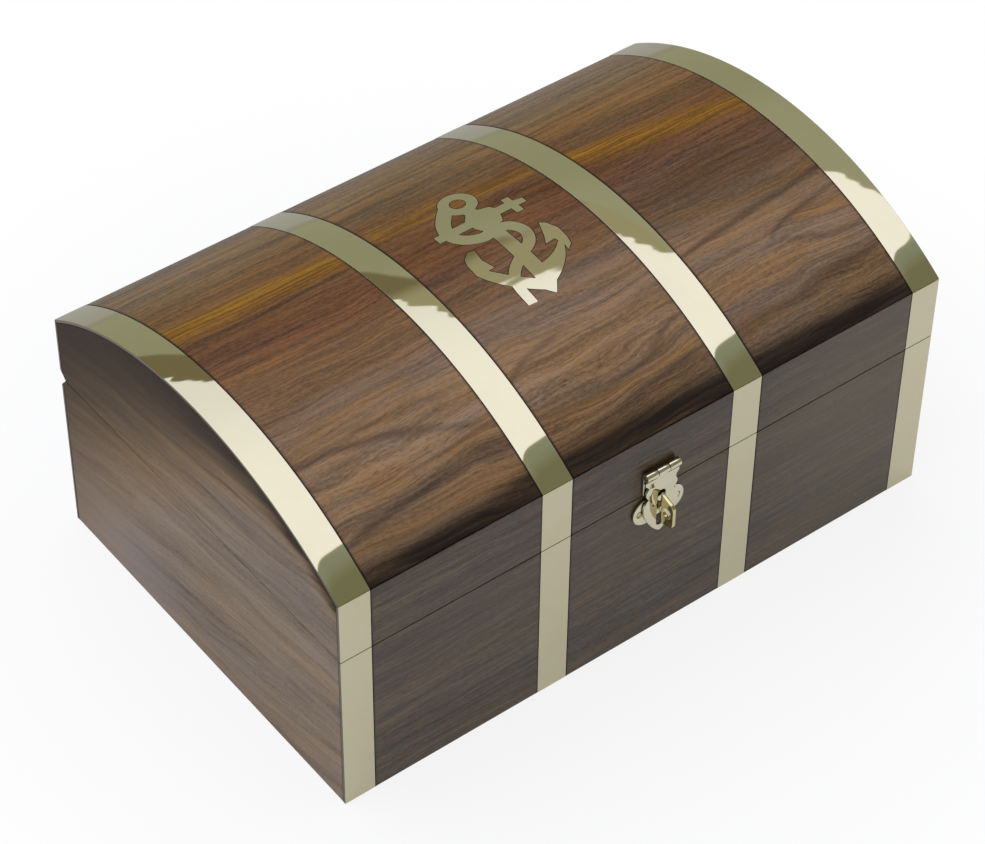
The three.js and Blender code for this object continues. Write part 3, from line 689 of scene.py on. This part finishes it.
def round_edges(bm, chosen, width, segments):
    edges = [edge for edge in bm.edges if edge.is_manifold and edge.calc_face_angle(0) > SHARP
             and chosen(*(vert.co for vert in edge.verts))]
    bmesh.ops.bevel(bm, geom=edges, offset=width, offset_type="OFFSET", segments=segments, profile=0.5,
                    affect="EDGES", clamp_overlap=False)


def close_to(value, target):
    return abs(value - target) < 0.02 * MM


def strap_lean(side, round_front):
    """How a strap's surface leans to the right and to the back, from -1 on its left edge to 1 on its right.

    Its crown leans to both sides. By the front crease, where it was bent, its left edge lies flatter."""
    bent = min(1, max(0, (round_front - BEND_START) / BEND_LENGTH))
    return CROWN_LEAN * side, bent * (BEND_TWIST * max(0, -side) ** 3 - BEND_TWIST / 4 * side)


def true_dome_normals(mesh, strap=None):
    """Faces on the dome's surface take the arc's own normals, so that reflections run without facets.

    A strap, from one place to another along X, leans a little from them."""
    close, lean = 0.02 * MM, radians(3)
    corners = [Vector(corner.vector) for corner in mesh.corner_normals]
    for face in mesh.polygons:
        outward = Vector((0, face.center.y, face.center.z - DOME_CENTRE))
        if outward.length > DOME_RADIUS - CROWN - close and face.normal.angle(outward) < lean:
            for index in face.loop_indices:
                corner = mesh.vertices[mesh.loops[index].vertex_index].co
                turn = atan2(corner.y, corner.z - DOME_CENTRE)
                right, back = 0, 0
                if strap:
                    side = (2 * corner.x - strap[0] - strap[1]) / (strap[1] - strap[0])
                    right, back = strap_lean(side, -turn * DOME_RADIUS)
                corners[index] = Vector((right, sin(turn + back), cos(turn + back))).normalized()
    mesh.normals_split_custom_set(corners)


def worked_out(helpers, scale=1, weld=SAME_PLACE):
    """What the first helper's curve or modifiers come to, with near corners joined. All the helpers go."""
    bm = bmesh.new()
    bm.from_mesh(helpers[0].evaluated_get(bpy.context.evaluated_depsgraph_get()).to_mesh())
    bm.transform(Matrix.Scale(scale, 4))
    bmesh.ops.remove_doubles(bm, verts=bm.verts, dist=weld)
    for helper in helpers:
        bpy.data.objects.remove(helper)
    return bm


def combined(mesh, steps):
    """Joins or cuts a mesh with others, and gives the finished mesh. Steps are (operation, mesh) pairs."""
    helpers = [placed("helper", mesh)]
    for operation, other in steps:
        helpers.append(placed("helper", other))
        modifier = helpers[0].modifiers.new("step", "BOOLEAN")
        modifier.operation = operation
        modifier.solver = "EXACT"
        modifier.object = helpers[-1]
    bm = worked_out(helpers)
    bmesh.ops.dissolve_degenerate(bm, edges=bm.edges, dist=SAME_PLACE)
    return mesh_of(bm)


def moved(mesh, matrix):
    mesh.transform(matrix)
    return mesh


def sheet(outline, holes, thickness, rounding):
    """A flat sheet with rounded edges, drawn in X and Y and centred on Z = 0."""
    curve = bpy.data.curves.new("outline", "CURVE")
    curve.dimensions = "2D"
    curve.fill_mode = "BOTH"
    curve.extrude = (thickness / 2 - rounding) / MM
    curve.bevel_depth = rounding / MM
    curve.bevel_resolution = 2
    curve.offset = -rounding / MM
    for points in [outline, *holes]:
        spline = curve.splines.new("POLY")
        spline.points.add(len(points) - 1)
        for target, (x, y) in zip(spline.points, points):
            target.co = (x / MM, y / MM, 0, 1)
        spline.use_cyclic_u = True
    return mesh_of(worked_out([placed("helper", curve)], scale=MM, weld=0.003 * MM))


def arc(x, y, radius, start, end, count):
    turns = [start + (end - start) * index / count for index in range(count + 1)]
    return [(x + radius * cos(turn), y + radius * sin(turn)) for turn in turns]


def circle(x, y, radius, count=40):
    return arc(x, y, radius, 0, 2 * pi, count)[:-1]


def bezier(points, count):
    """Points on a quadratic or cubic curve, without its first one."""
    def at(share):
        line = [Vector(point) for point in points]
        while len(line) > 1:
            line = [first.lerp(second, share) for first, second in zip(line, line[1:])]
        return tuple(line[0])
    return [at(index / count) for index in range(1, count + 1)]


def turned(profile, sides=48):
    """Turns (along, radius) points about the X axis. A profile that starts off the axis closes on itself."""
    points = [*profile, profile[0]] if profile[0][1] > 0 else profile
    bm = bmesh.new()
    columns = []
    for index in range(sides):
        turn = 2 * pi * index / sides
        columns.append([bm.verts.new((along, radius * cos(turn), radius * sin(turn)))
                        for along, radius in points])
    for first, second in zip(columns, columns[1:] + columns[:1]):
        for index in range(len(points) - 1):
            bm.faces.new((first[index], first[index + 1], second[index + 1], second[index]))
    bmesh.ops.remove_doubles(bm, verts=bm.verts, dist=SAME_PLACE)
    return mesh_of(bm)


def knuckle(low, high, radius, bore):
    turns = rounded(KNUCKLE_EDGE, 3)
    left = [(low + away, radius - drop) for away, drop in turns]
    right = [(high - away, radius - drop) for away, drop in reversed(turns)]
    return turned([(low, bore), *left, *right, (high, bore)])


def pin(low, high, radius):
    """A round pin with softly domed ends."""
    end, tip = 0.25 * MM, 0.75 * radius
    ends = [(end * (1 - sin(angle)), tip + (radius - tip) * cos(angle)) for angle in quarter(3)]
    left = [(low + away, reach) for away, reach in reversed(ends)]
    right = [(high - away, reach) for away, reach in ends]
    return turned([(low, 0), *left, *right, (high, 0)], 32)


def pin_sizes(node):
    """A pin's middle, half of its length, and its radius."""
    low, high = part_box(node)
    return (low + high) / 2, (high.x - low.x) / 2, (high.z - low.z) / 2


# The wooden boards

def build_boards():
    def rim(first, second):
        heights = (0, BASE_HEIGHT, LID_RIM, CREASE - FIT)
        return close_to(first.z, second.z) and any(close_to(first.z, height) for height in heights)

    def level_with(axis, place):
        return lambda first, second: close_to(first[axis], place) and close_to(second[axis], place)

    def board(node, slot, name, chosen, width, segments=2, arcs=()):
        bm = cad_mesh(node, arcs)
        round_edges(bm, chosen, width, segments)
        finished(mesh_of(bm), slot, node, name, flats=True)

    for node in ("base_front_wall", "base_back_wall", "lid_front_rail", "lid_back_rail"):
        name = node.replace("_wall", "_board").replace("_rail", "_board")
        board(node, "dark_wood", name, rim, WOOD_EDGE)
    for node in ("base_left_end", "base_right_end", "lid_left_end", "lid_right_end"):
        side = -HALF_LENGTH if "left" in node else HALF_LENGTH
        arcs = (INLAY_DEPTH,) if node.startswith("lid") else ()
        board(node, "end_grain_wood", f"{node}_board", level_with(0, side), END_EDGE, arcs=arcs)
    board("bottom_board", "inner_wood", "floor_board", level_with(2, 0), WOOD_EDGE)
    liner_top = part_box("floor_liner")[1].z
    board("floor_liner", "liner_cloth", "cloth_liner", level_with(2, liner_top), CARD_EDGE, 4)


def build_dome():
    """The dome's board with its grooves and the anchor's pocket, the anchor, and the mastic round it."""
    def crease(*ends):
        return all(close_to(end.z, CREASE) and close_to(abs(end.y), HALF_WIDTH) for end in ends)

    cuts = []
    for node, slot, name, arcs in (("lid_dome", "dome_wood", "dome_board", (0, INLAY_DEPTH, BOARD)),
                                   ("anchor_inlay", "polished_brass", "anchor", (0, STRAP_THICKNESS))):
        bm = cad_mesh(node, arcs)
        cuts.append(("DIFFERENCE", mesh_of(bm.copy())))
        round_edges(bm, crease, CREASE_EDGE, 4)
        true_dome_normals(finished(mesh_of(bm), slot, node, name).data)

    low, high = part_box("anchor_inlay")
    margin = 2 * MM
    start = asin((low.y - margin) / DOME_RADIUS)
    end = asin((high.y + margin) / DOME_RADIUS)

    def patch(share, x, inset):
        angle = start + share * (end - start)
        radius = DOME_RADIUS - inset
        return Vector((x, radius * sin(angle), DOME_CENTRE + radius * cos(angle)))

    left, right = low.x - margin, high.x + margin
    floor = INLAY_DEPTH - GLUE_DEPTH
    section = [(left, floor), (left, GLUE_DEPTH), (right, GLUE_DEPTH), (right, floor)]
    bm = bmesh.new()
    bar(bm, section, patch, DOME_RADIUS * (end - start), STRAP_STEPS)
    finished(combined(mesh_of(bm), cuts), "joint_mastic", name="anchor_mastic", body=BODY_OF["anchor_inlay"])


# The straps and the mastic round them

def level(height, bevel=0):
    """The height at any inset. For bevel 1 or -1 it rises or falls behind the hinge pins."""
    return lambda inset: height + bevel * max(0, HALF_WIDTH - inset - HINGE_PIN.y) * BEVEL_SLOPE


def build_straps():
    def mitre(inset):
        return on_dome(inset, 1)[1] - FIT

    wall_length = CREASE - LID_RIM
    arc_length = 2 * DOME_RADIUS * asin(HALF_WIDTH / DOME_RADIUS)
    runs = {
        "base_front_strap": (up_wall(-1, level(0), level(BASE_HEIGHT)), BASE_HEIGHT, WALL_STEPS),
        "base_back_strap": (up_wall(1, level(0), level(BASE_HEIGHT, -1)), BASE_HEIGHT, WALL_STEPS),
        "lid_front_strap": (up_wall(-1, level(LID_RIM), mitre), wall_length, WALL_STEPS),
        "lid_back_strap": (up_wall(1, level(LID_RIM, 1), mitre), wall_length, WALL_STEPS),
        "dome_strap": (over_dome, arc_length, STRAP_STEPS),
    }
    mastic = {"base": bmesh.new(), "lid": bmesh.new()}
    for run, (path, length, steps) in runs.items():
        for node in (f"{run}_{place}" for place in STRAPS):
            low, high = (corner.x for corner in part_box(node))
            bm = bmesh.new()
            bar(bm, strap_section(low, high), path, length, steps, rounding=BRASS_EDGE)
            piece = finished(mesh_of(bm), "polished_brass", node, flats=run != "dome_strap")
            if run == "dome_strap":
                true_dome_normals(piece.data, strap=(low, high))
            bar(mastic[BODY_OF[node]], glue_section(low, high), path, length, steps, short=GLUE_DEPTH)
    for body, bm in mastic.items():
        finished(mesh_of(bm), "joint_mastic", name=f"{body}_strap_mastic", body=body)


# Screws

SCREW_HEAD = 1.35 * MM
SCREW_HEAD_DEPTH = 0.7 * MM
SCREW_SHANK = 0.75 * MM
SCREW_LENGTH = 6.5 * MM
SCREW_GAP = 0.05 * MM
STAPLE_SCREW_GAP = 0.25 * MM
SLOT_WIDTH = 0.45 * MM
SLOT_DEPTH = 0.35 * MM


def screw_mesh():
    """A countersunk slotted screw along X, its head at zero and facing +X, with a softly domed face."""
    lip, face = 0.08 * MM, 0.94 * SCREW_HEAD
    crown = [(lip * cos(angle), face * sin(angle)) for angle in quarter(5)]
    profile = [
        (-SCREW_LENGTH, 0),
        (-SCREW_LENGTH + SCREW_SHANK, SCREW_SHANK),
        (-SCREW_HEAD_DEPTH, SCREW_SHANK),
        (-lip, SCREW_HEAD),
        *reversed(crown),
    ]
    cutter = bmesh.new()
    middle = Matrix.Translation(((SCREW_HEAD - SLOT_DEPTH) / 2, 0, 0))
    sizes = Matrix.Diagonal((SCREW_HEAD + SLOT_DEPTH, 4 * SCREW_HEAD, SLOT_WIDTH, 1))
    bmesh.ops.create_cube(cutter, size=1, matrix=middle @ sizes)
    return combined(turned(profile, 40), [("DIFFERENCE", mesh_of(cutter))])


def build_screws():
    """Each screw's slot stands at its own angle, as a hand leaves it."""
    shape = screw_mesh()
    for index, node in enumerate(sorted(node for node in NODES if "screw" in node)):
        low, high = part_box(node)
        place = (low + high) / 2
        if "hinge_base" in node:
            place.z, turn = high.z, Matrix.Rotation(-pi / 2, 4, "Y")
        elif "hinge_lid" in node:
            place.z, turn = low.z, Matrix.Rotation(pi / 2, 4, "Y")
        else:
            place.y, turn = low.y, Matrix.Rotation(-pi / 2, 4, "Z")
        spin = Matrix.Rotation(radians(20 + 57 * index), 4, "X")
        mesh = moved(shape.copy(), Matrix.Translation(place) @ turn @ spin)
        finished(mesh, "yellow_brass", node)


# The hinges

KNUCKLE_GAP = 0.3 * MM
KNUCKLE_EDGE = 0.2 * MM
PIN_PLAY = 0.15 * MM
LEAF_THICKNESS = 1.0 * MM
LEAF_EDGE = 0.12 * MM
SCREW_REACH = 8.25 * MM


def leaf_outline(end, reach, root, clear, spans):
    """A leaf's outline: to its root under its own knuckles, and clear of the other leaf's between them."""
    points = [(-end, -reach), (end, -reach), (end, clear)]
    for low, high in reversed(spans):
        points += [(high, clear), (high, root), (low, root), (low, clear)]
    points.append((-end, clear))
    return [point for index, point in enumerate(points) if point != points[index - 1]]


def countersink():
    """What a screw cuts out of a leaf along X, its head's face at zero. The cone runs on past the face."""
    shank = SCREW_SHANK + SCREW_GAP
    past_face = 2 * (SCREW_HEAD + SCREW_GAP) - shank
    return turned([
        (-SCREW_LENGTH, 0),
        (-SCREW_LENGTH, shank),
        (-SCREW_HEAD_DEPTH, shank),
        (SCREW_HEAD_DEPTH, past_face),
        (SCREW_HEAD_DEPTH, 0),
    ], 40)


def knuckle_spans(end):
    """Where the outer two knuckles lie on a pin, and the middle one."""
    middle = (end - KNUCKLE_GAP) / 3
    return [(-end, -middle - KNUCKLE_GAP), (middle + KNUCKLE_GAP, end)], [(-middle, middle)]


def hinge_leaf(hinge, node, side, spans):
    """A leaf on the base for side -1 and on the lid for side 1, about its pin."""
    low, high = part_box(node)
    axis, _, pin_radius = pin_sizes(f"{hinge}_pin")
    barrel = axis.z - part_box(f"{hinge}_base_leaf")[0].z
    reach = axis.y - low.y
    face = side * (LID_RIM - BASE_HEIGHT) / 2
    outline = leaf_outline((high.x - low.x) / 2, reach, -(barrel + pin_radius) / 2, -barrel - FIT, spans)
    height = Matrix.Translation((0, 0, face + side * LEAF_THICKNESS / 2))
    plate = moved(sheet(outline, [], LEAF_THICKNESS, LEAF_EDGE), height)
    turn = Matrix.Rotation(side * pi / 2, 4, "Y")
    places = [Matrix.Translation((x, -(barrel + reach) / 2, face)) for x in (-SCREW_REACH, SCREW_REACH)]
    steps = [("DIFFERENCE", moved(countersink(), place @ turn)) for place in places]
    steps += [("UNION", knuckle(*span, barrel, pin_radius + PIN_PLAY)) for span in spans]
    return moved(combined(plate, steps), Matrix.Translation(axis))


def build_hinges():
    for hinge in ("left_hinge", "right_hinge"):
        axis, end, pin_radius = pin_sizes(f"{hinge}_pin")
        leaves = (f"{hinge}_base_leaf", f"{hinge}_lid_leaf")
        for node, side, spans in zip(leaves, (-1, 1), knuckle_spans(end)):
            finished(hinge_leaf(hinge, node, side, spans), "yellow_brass", node)
        mesh = moved(pin(-end, end, pin_radius), Matrix.Translation(axis))
        finished(mesh, "yellow_brass", f"{hinge}_pin")


# The hasp and the staple

HASP_SHEET = 1.0 * MM
HASP_EDGE = 0.16 * MM
STAPLE_EDGE = 0.25 * MM
EYE_EDGE = 0.4 * MM
HASP_SCREW_SPACING = 11 * MM
HASP_SCREW_DROP = 6.8 * MM
STAPLE_WAIST = 10 * MM
STAPLE_SCREW_SPACING = 19 * MM
POST_RADIUS = 1.5 * MM
RIVET_RADIUS = 2.4 * MM
RIVET_THICKNESS = 0.9 * MM
EYE_TIP_HEIGHT = 11.5 * MM
EYE_CORNER = 3 * MM
EYE_THICKNESS = 1.6 * MM
EYE_HOLE = 2.3 * MM
EYE_HOLE_REACH = 6.9 * MM
RUNNING_GAP = 0.4 * MM
SLOT_PLAY = 1.1 * MM
FRONT_VIEW = Matrix(((1, 0, 0, 0), (0, 0, -1, 0), (0, 1, 0, 0), (0, 0, 0, 1)))
SIDE_VIEW = Matrix(((0, 0, 1, 0), (1, 0, 0, 0), (0, 1, 0, 0), (0, 0, 0, 1)))

# The hanging plate's outline, as shares of half its width and of its length below the pin
HASP_SHOULDER = ((1, 0.085), (1, 0.13))
HASP_LOBE = ((0.75, 0.205), (1.12, 0.29), (0.75, 0.39))
HASP_BULB = ((0.75, 0.39), (1.55, 0.5), (0.5, 0.96), (0, 1))


def hasp_outline(half, knuckle_half, reach):
    neck = knuckle_half / half
    shares = [(neck, 0), (neck, HASP_SHOULDER[0][1]), *HASP_SHOULDER, HASP_LOBE[0]]
    shares += bezier(HASP_LOBE, 14) + bezier(HASP_BULB, 22)
    right = [(across * half, -down * reach) for across, down in shares]
    return right + [(-x, y) for x, y in right[-2::-1]]


def screw_holes(spacing, height):
    return [circle(x, height, SCREW_HEAD + STAPLE_SCREW_GAP) for x in (-spacing / 2, spacing / 2)]


def build_hasp():
    axis, end, pin_radius = pin_sizes("hasp_pin")
    at_axis = Matrix.Translation(axis)
    bore = pin_radius + PIN_PLAY
    leaf_low, leaf_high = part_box("hasp_lid_leaf")
    barrel = leaf_high.z - axis.z
    outer, middle = knuckle_spans(end)

    outline = leaf_outline(end, axis.z - leaf_low.z, 0, -barrel - FIT, outer)
    holes = screw_holes(HASP_SCREW_SPACING, -HASP_SCREW_DROP)
    behind = Matrix.Translation((0, -HALF_WIDTH - axis.y - FIT - HASP_SHEET / 2, 0))
    plate = moved(sheet(outline, holes, HASP_SHEET, LEAF_EDGE), behind @ FRONT_VIEW)
    knuckles = [("UNION", knuckle(*span, barrel, bore)) for span in outer]
    finished(moved(combined(plate, knuckles), at_axis), "plated_brass", "hasp_lid_leaf")

    eye_low, eye_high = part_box("swivel_eye")
    eye_out = HASP_SHEET / 2 + RUNNING_GAP
    slot_top = -hypot(axis.z - eye_high.z, eye_out) + SLOT_PLAY / 2
    slot_foot = -hypot(axis.z - eye_low.z, eye_out) - SLOT_PLAY / 2
    slot_radius = max(POST_RADIUS, EYE_THICKNESS / 2) + SLOT_PLAY / 2
    slot = arc(0, slot_top - slot_radius / 2, slot_radius, 0, pi, 20)
    slot += arc(0, slot_foot + slot_radius / 2, slot_radius, pi, 2 * pi, 20)
    outline = hasp_outline(end, middle[0][1], axis.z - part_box("hasp_plate")[0].z)
    plate = moved(sheet(outline, [slot], HASP_SHEET, HASP_EDGE), FRONT_VIEW)
    mesh = combined(plate, [("UNION", knuckle(*middle[0], barrel, bore))])
    finished(moved(mesh, at_axis), "plated_brass", "hasp_plate")
    finished(moved(pin(-end, end, pin_radius), at_axis), "yellow_brass", "hasp_pin")


def build_staple():
    low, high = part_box("staple_plate")
    middle = (low + high) / 2
    lobe = (high.z - low.z) / 2
    lobe_x = (high.x - low.x) / 2 - lobe
    neck = pi - asin(STAPLE_WAIST / 2 / lobe)
    outline = arc(lobe_x, 0, lobe, -neck, neck, 36)
    outline += arc(-lobe_x, 0, lobe, pi - neck, pi + neck, 36)
    holes = [circle(0, 0, POST_RADIUS + FIT), *screw_holes(STAPLE_SCREW_SPACING, 0)]
    mesh = moved(sheet(outline, holes, HASP_SHEET, STAPLE_EDGE), Matrix.Translation(middle) @ FRONT_VIEW)
    finished(mesh, "plated_brass", "staple_plate")

    eye_low, eye_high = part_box("swivel_eye")
    hasp_out = -HALF_WIDTH - pin_sizes("hasp_pin")[0].y
    eye_root = hasp_out + HASP_SHEET / 2 + RUNNING_GAP
    root, tip = (eye_high.z - eye_low.z) / 2, EYE_TIP_HEIGHT / 2
    reach = -HALF_WIDTH - eye_low.y
    slope = atan2(root - tip, reach - eye_root)
    centre_y = reach - EYE_CORNER
    centre_z = tip + (root - tip) * EYE_CORNER / (reach - eye_root) - EYE_CORNER / cos(slope)
    outline = [(-eye_root, -root), (-eye_root, root)]
    outline += arc(-centre_y, centre_z, EYE_CORNER, pi / 2 + slope, pi, 12)
    outline += arc(-centre_y, -centre_z, EYE_CORNER, pi, 3 * pi / 2 - slope, 12)
    hole = circle(-EYE_HOLE_REACH, 0, EYE_HOLE)
    blade = moved(sheet(outline, [hole], EYE_THICKNESS, EYE_EDGE), SIDE_VIEW)
    along_y = Matrix.Rotation(pi / 2, 4, "Z")
    post_tip = -(eye_root + EYE_HOLE_REACH - EYE_HOLE) / 2
    post = moved(pin(post_tip, RIVET_THICKNESS / 2, POST_RADIUS), along_y)
    rivet = moved(pin(0, RIVET_THICKNESS, RIVET_RADIUS), along_y)
    place = Matrix.Translation(((eye_low.x + eye_high.x) / 2, -HALF_WIDTH, middle.z))
    mesh = moved(combined(blade, [("UNION", post), ("UNION", rivet)]), place)
    finished(mesh, "yellow_brass", "swivel_eye")


# The floor, the light and the camera

FLOOR_REACH = 1100 * MM
FLOOR_BACK = 330 * MM
SEEN_WHITE = 0.84
SHADOW_START = 170
SHADOW_END = 330
MIRRORED_WHITE = 0.5
WHITE = (1, 1, 1)
FLOOR_COLOUR = (0.88, 0.88, 0.88)


def backdrop_rays(graph):
    """Whether a ray comes straight from the camera, and whether it comes by way of metal or glass."""
    rays = graph.node("ShaderNodeLightPath").outputs
    return rays["Is Camera Ray"], graph.math("MAXIMUM", rays["Is Glossy Ray"], rays["Is Transmission Ray"])


def build_floor():
    """A pale floor that keeps the chest's shadow, and looks white to the camera and half white in metal."""
    bm = bmesh.new()
    bm.faces.new([bm.verts.new((x, min(y, FLOOR_BACK), 0)) for x, y in circle(0, 0, FLOOR_REACH, 96)])
    floor = placed("floor", mesh_of(bm))
    graph = new_material("pale_floor")
    seen_directly, mirrored = backdrop_rays(graph)
    x, y, _ = rest_place(graph)
    away = graph.math("SQRT", graph.add(graph.times(x, x), graph.times(y, y)))
    white_share = graph.scaled(graph.rise(away, SHADOW_START, SHADOW_END), 0, 1, SEEN_WHITE, 1)
    seen = graph.add(graph.times(seen_directly, white_share), graph.times(mirrored, MIRRORED_WHITE))
    diffuse = graph.node("ShaderNodeBsdfDiffuse", {"Color": FLOOR_COLOUR})
    white = graph.node("ShaderNodeEmission", {"Color": WHITE, "Strength": 1.0})
    mixed = graph.node("ShaderNodeMixShader", {"Fac": seen})
    graph.tree.links.new(diffuse.outputs[0], mixed.inputs[1])
    graph.tree.links.new(white.outputs[0], mixed.inputs[2])
    graph.finish(mixed)
    floor.data.materials.append(MATERIALS["pale_floor"])


# The studio is one large soft light panel overhead and to the left, brighter to the front, with a dark frame
# on its right and dimmer walls around. Right and back are slopes: how far a direction leans from straight up.
# Below the horizon the backdrop is white to the camera and half white in the metal, as the floor is.
PANEL_LIGHT = (1.58, 1.60, 1.85)
PANEL_BACK_LIGHT = (1.30, 1.34, 1.52)
WALL_LIGHT = (0.46, 0.47, 0.36)
UPPER_WALL_LIGHT = (0.53, 0.54, 0.43)
FRAME_LIGHT = (0.28, 0.24, 0.15)
LOW_FRAME_LIGHT = (0.52, 0.50, 0.36)
FRONT_LIGHT = (0.28, 0.29, 0.19)
FRONT_EDGE_LIGHT = (0.39, 0.43, 0.37)
ROOM_LIGHT = (0.01, 0.02, 0.01)
PANEL_RIGHT = 0.59
PANEL_FRONT = -0.34
PANEL_CORNER = 0.06


def build_studio():
    world = bpy.data.worlds.new("studio")
    bpy.context.scene.world = world
    world.use_nodes = True
    graph = Graph(world.node_tree)
    direction = graph.node("ShaderNodeTexCoord").outputs["Generated"]
    x, y, z = graph.node("ShaderNodeSeparateXYZ", {"Vector": direction}).outputs
    height = graph.math("MAXIMUM", z, 0.02)
    right = graph.math("DIVIDE", x, height)
    back = graph.math("DIVIDE", y, height)

    torn = graph.noise((back, 0, 0), 9, 1, 1, 1, 0.6)
    widening = graph.times(graph.rise(back, 0.45, -0.25), 0.17)
    edge = graph.add(PANEL_RIGHT, widening, graph.scaled(torn, 0.3, 0.7, -0.02, 0.02))
    past_right = graph.less(right, edge)
    past_front = graph.less(PANEL_FRONT, back)
    outside = graph.math("SMOOTH_MAX", past_right, past_front, PANEL_CORNER)
    inside_panel = graph.rise(outside, 0.006, -0.004)

    frame_edge = graph.add(0.66, graph.times(graph.less(back, 0.5), 0.125))
    wall = graph.mix(graph.rise(z, 0.45, 0.7), WALL_LIGHT, UPPER_WALL_LIGHT)
    beside_frame = graph.rise(right, graph.add(frame_edge, -0.01), graph.add(frame_edge, 0.02))
    framed = graph.mix(graph.rise(back, 0.96, 0.78), FRAME_LIGHT, LOW_FRAME_LIGHT)
    wall = graph.mix(beside_frame, framed, wall)
    low = graph.rise(z, 0.0, -0.1)
    wall = graph.mix(low, wall, ROOM_LIGHT)
    front = graph.mix(graph.rise(back, -0.52, -0.38), FRONT_LIGHT, FRONT_EDGE_LIGHT)
    around = graph.mix(graph.rise(past_front, -0.01, 0.03), wall, front)
    panel = graph.mix(graph.rise(back, 1.0, 0.0), PANEL_BACK_LIGHT, PANEL_LIGHT)
    lit = graph.mix(inside_panel, around, panel)

    seen_directly, mirrored = backdrop_rays(graph)
    seen = graph.math("MAXIMUM", seen_directly, graph.times(mirrored, low, MIRRORED_WHITE))
    colour = graph.mix(seen, lit, WHITE)
    background = graph.node("ShaderNodeBackground", {"Color": colour, "Strength": 1})
    graph.finish(background, "ShaderNodeOutputWorld")


# The photograph's camera, found from the chest's corners and seams
CAMERA_AZIMUTH = radians(-37.96)
CAMERA_ELEVATION = radians(44.24)
CAMERA_ROLL = radians(0.664)
CAMERA_DISTANCE = 1378.6 * MM
CAMERA_RIGHT = -2.3 * MM
CAMERA_UP = 31.7 * MM
CAMERA_LENS = 117.84
CAMERA_SENSOR = 36


def build_camera():
    data = bpy.data.cameras.new("camera")
    data.lens = CAMERA_LENS
    data.sensor_width = CAMERA_SENSOR
    camera = placed("camera", data)
    turn = Matrix.Rotation(CAMERA_AZIMUTH, 4, "Z") @ Matrix.Rotation(pi / 2 - CAMERA_ELEVATION, 4, "X")
    turn @= Matrix.Rotation(CAMERA_ROLL, 4, "Z")
    camera.matrix_world = turn @ Matrix.Translation((CAMERA_RIGHT, CAMERA_UP, CAMERA_DISTANCE))
    bpy.context.scene.camera = camera


build_boards()
build_dome()
build_straps()
build_screws()
build_hinges()
build_hasp()
build_staple()
build_floor()
build_studio()
build_camera()
bpy.context.scene.view_settings.view_transform = "Standard"
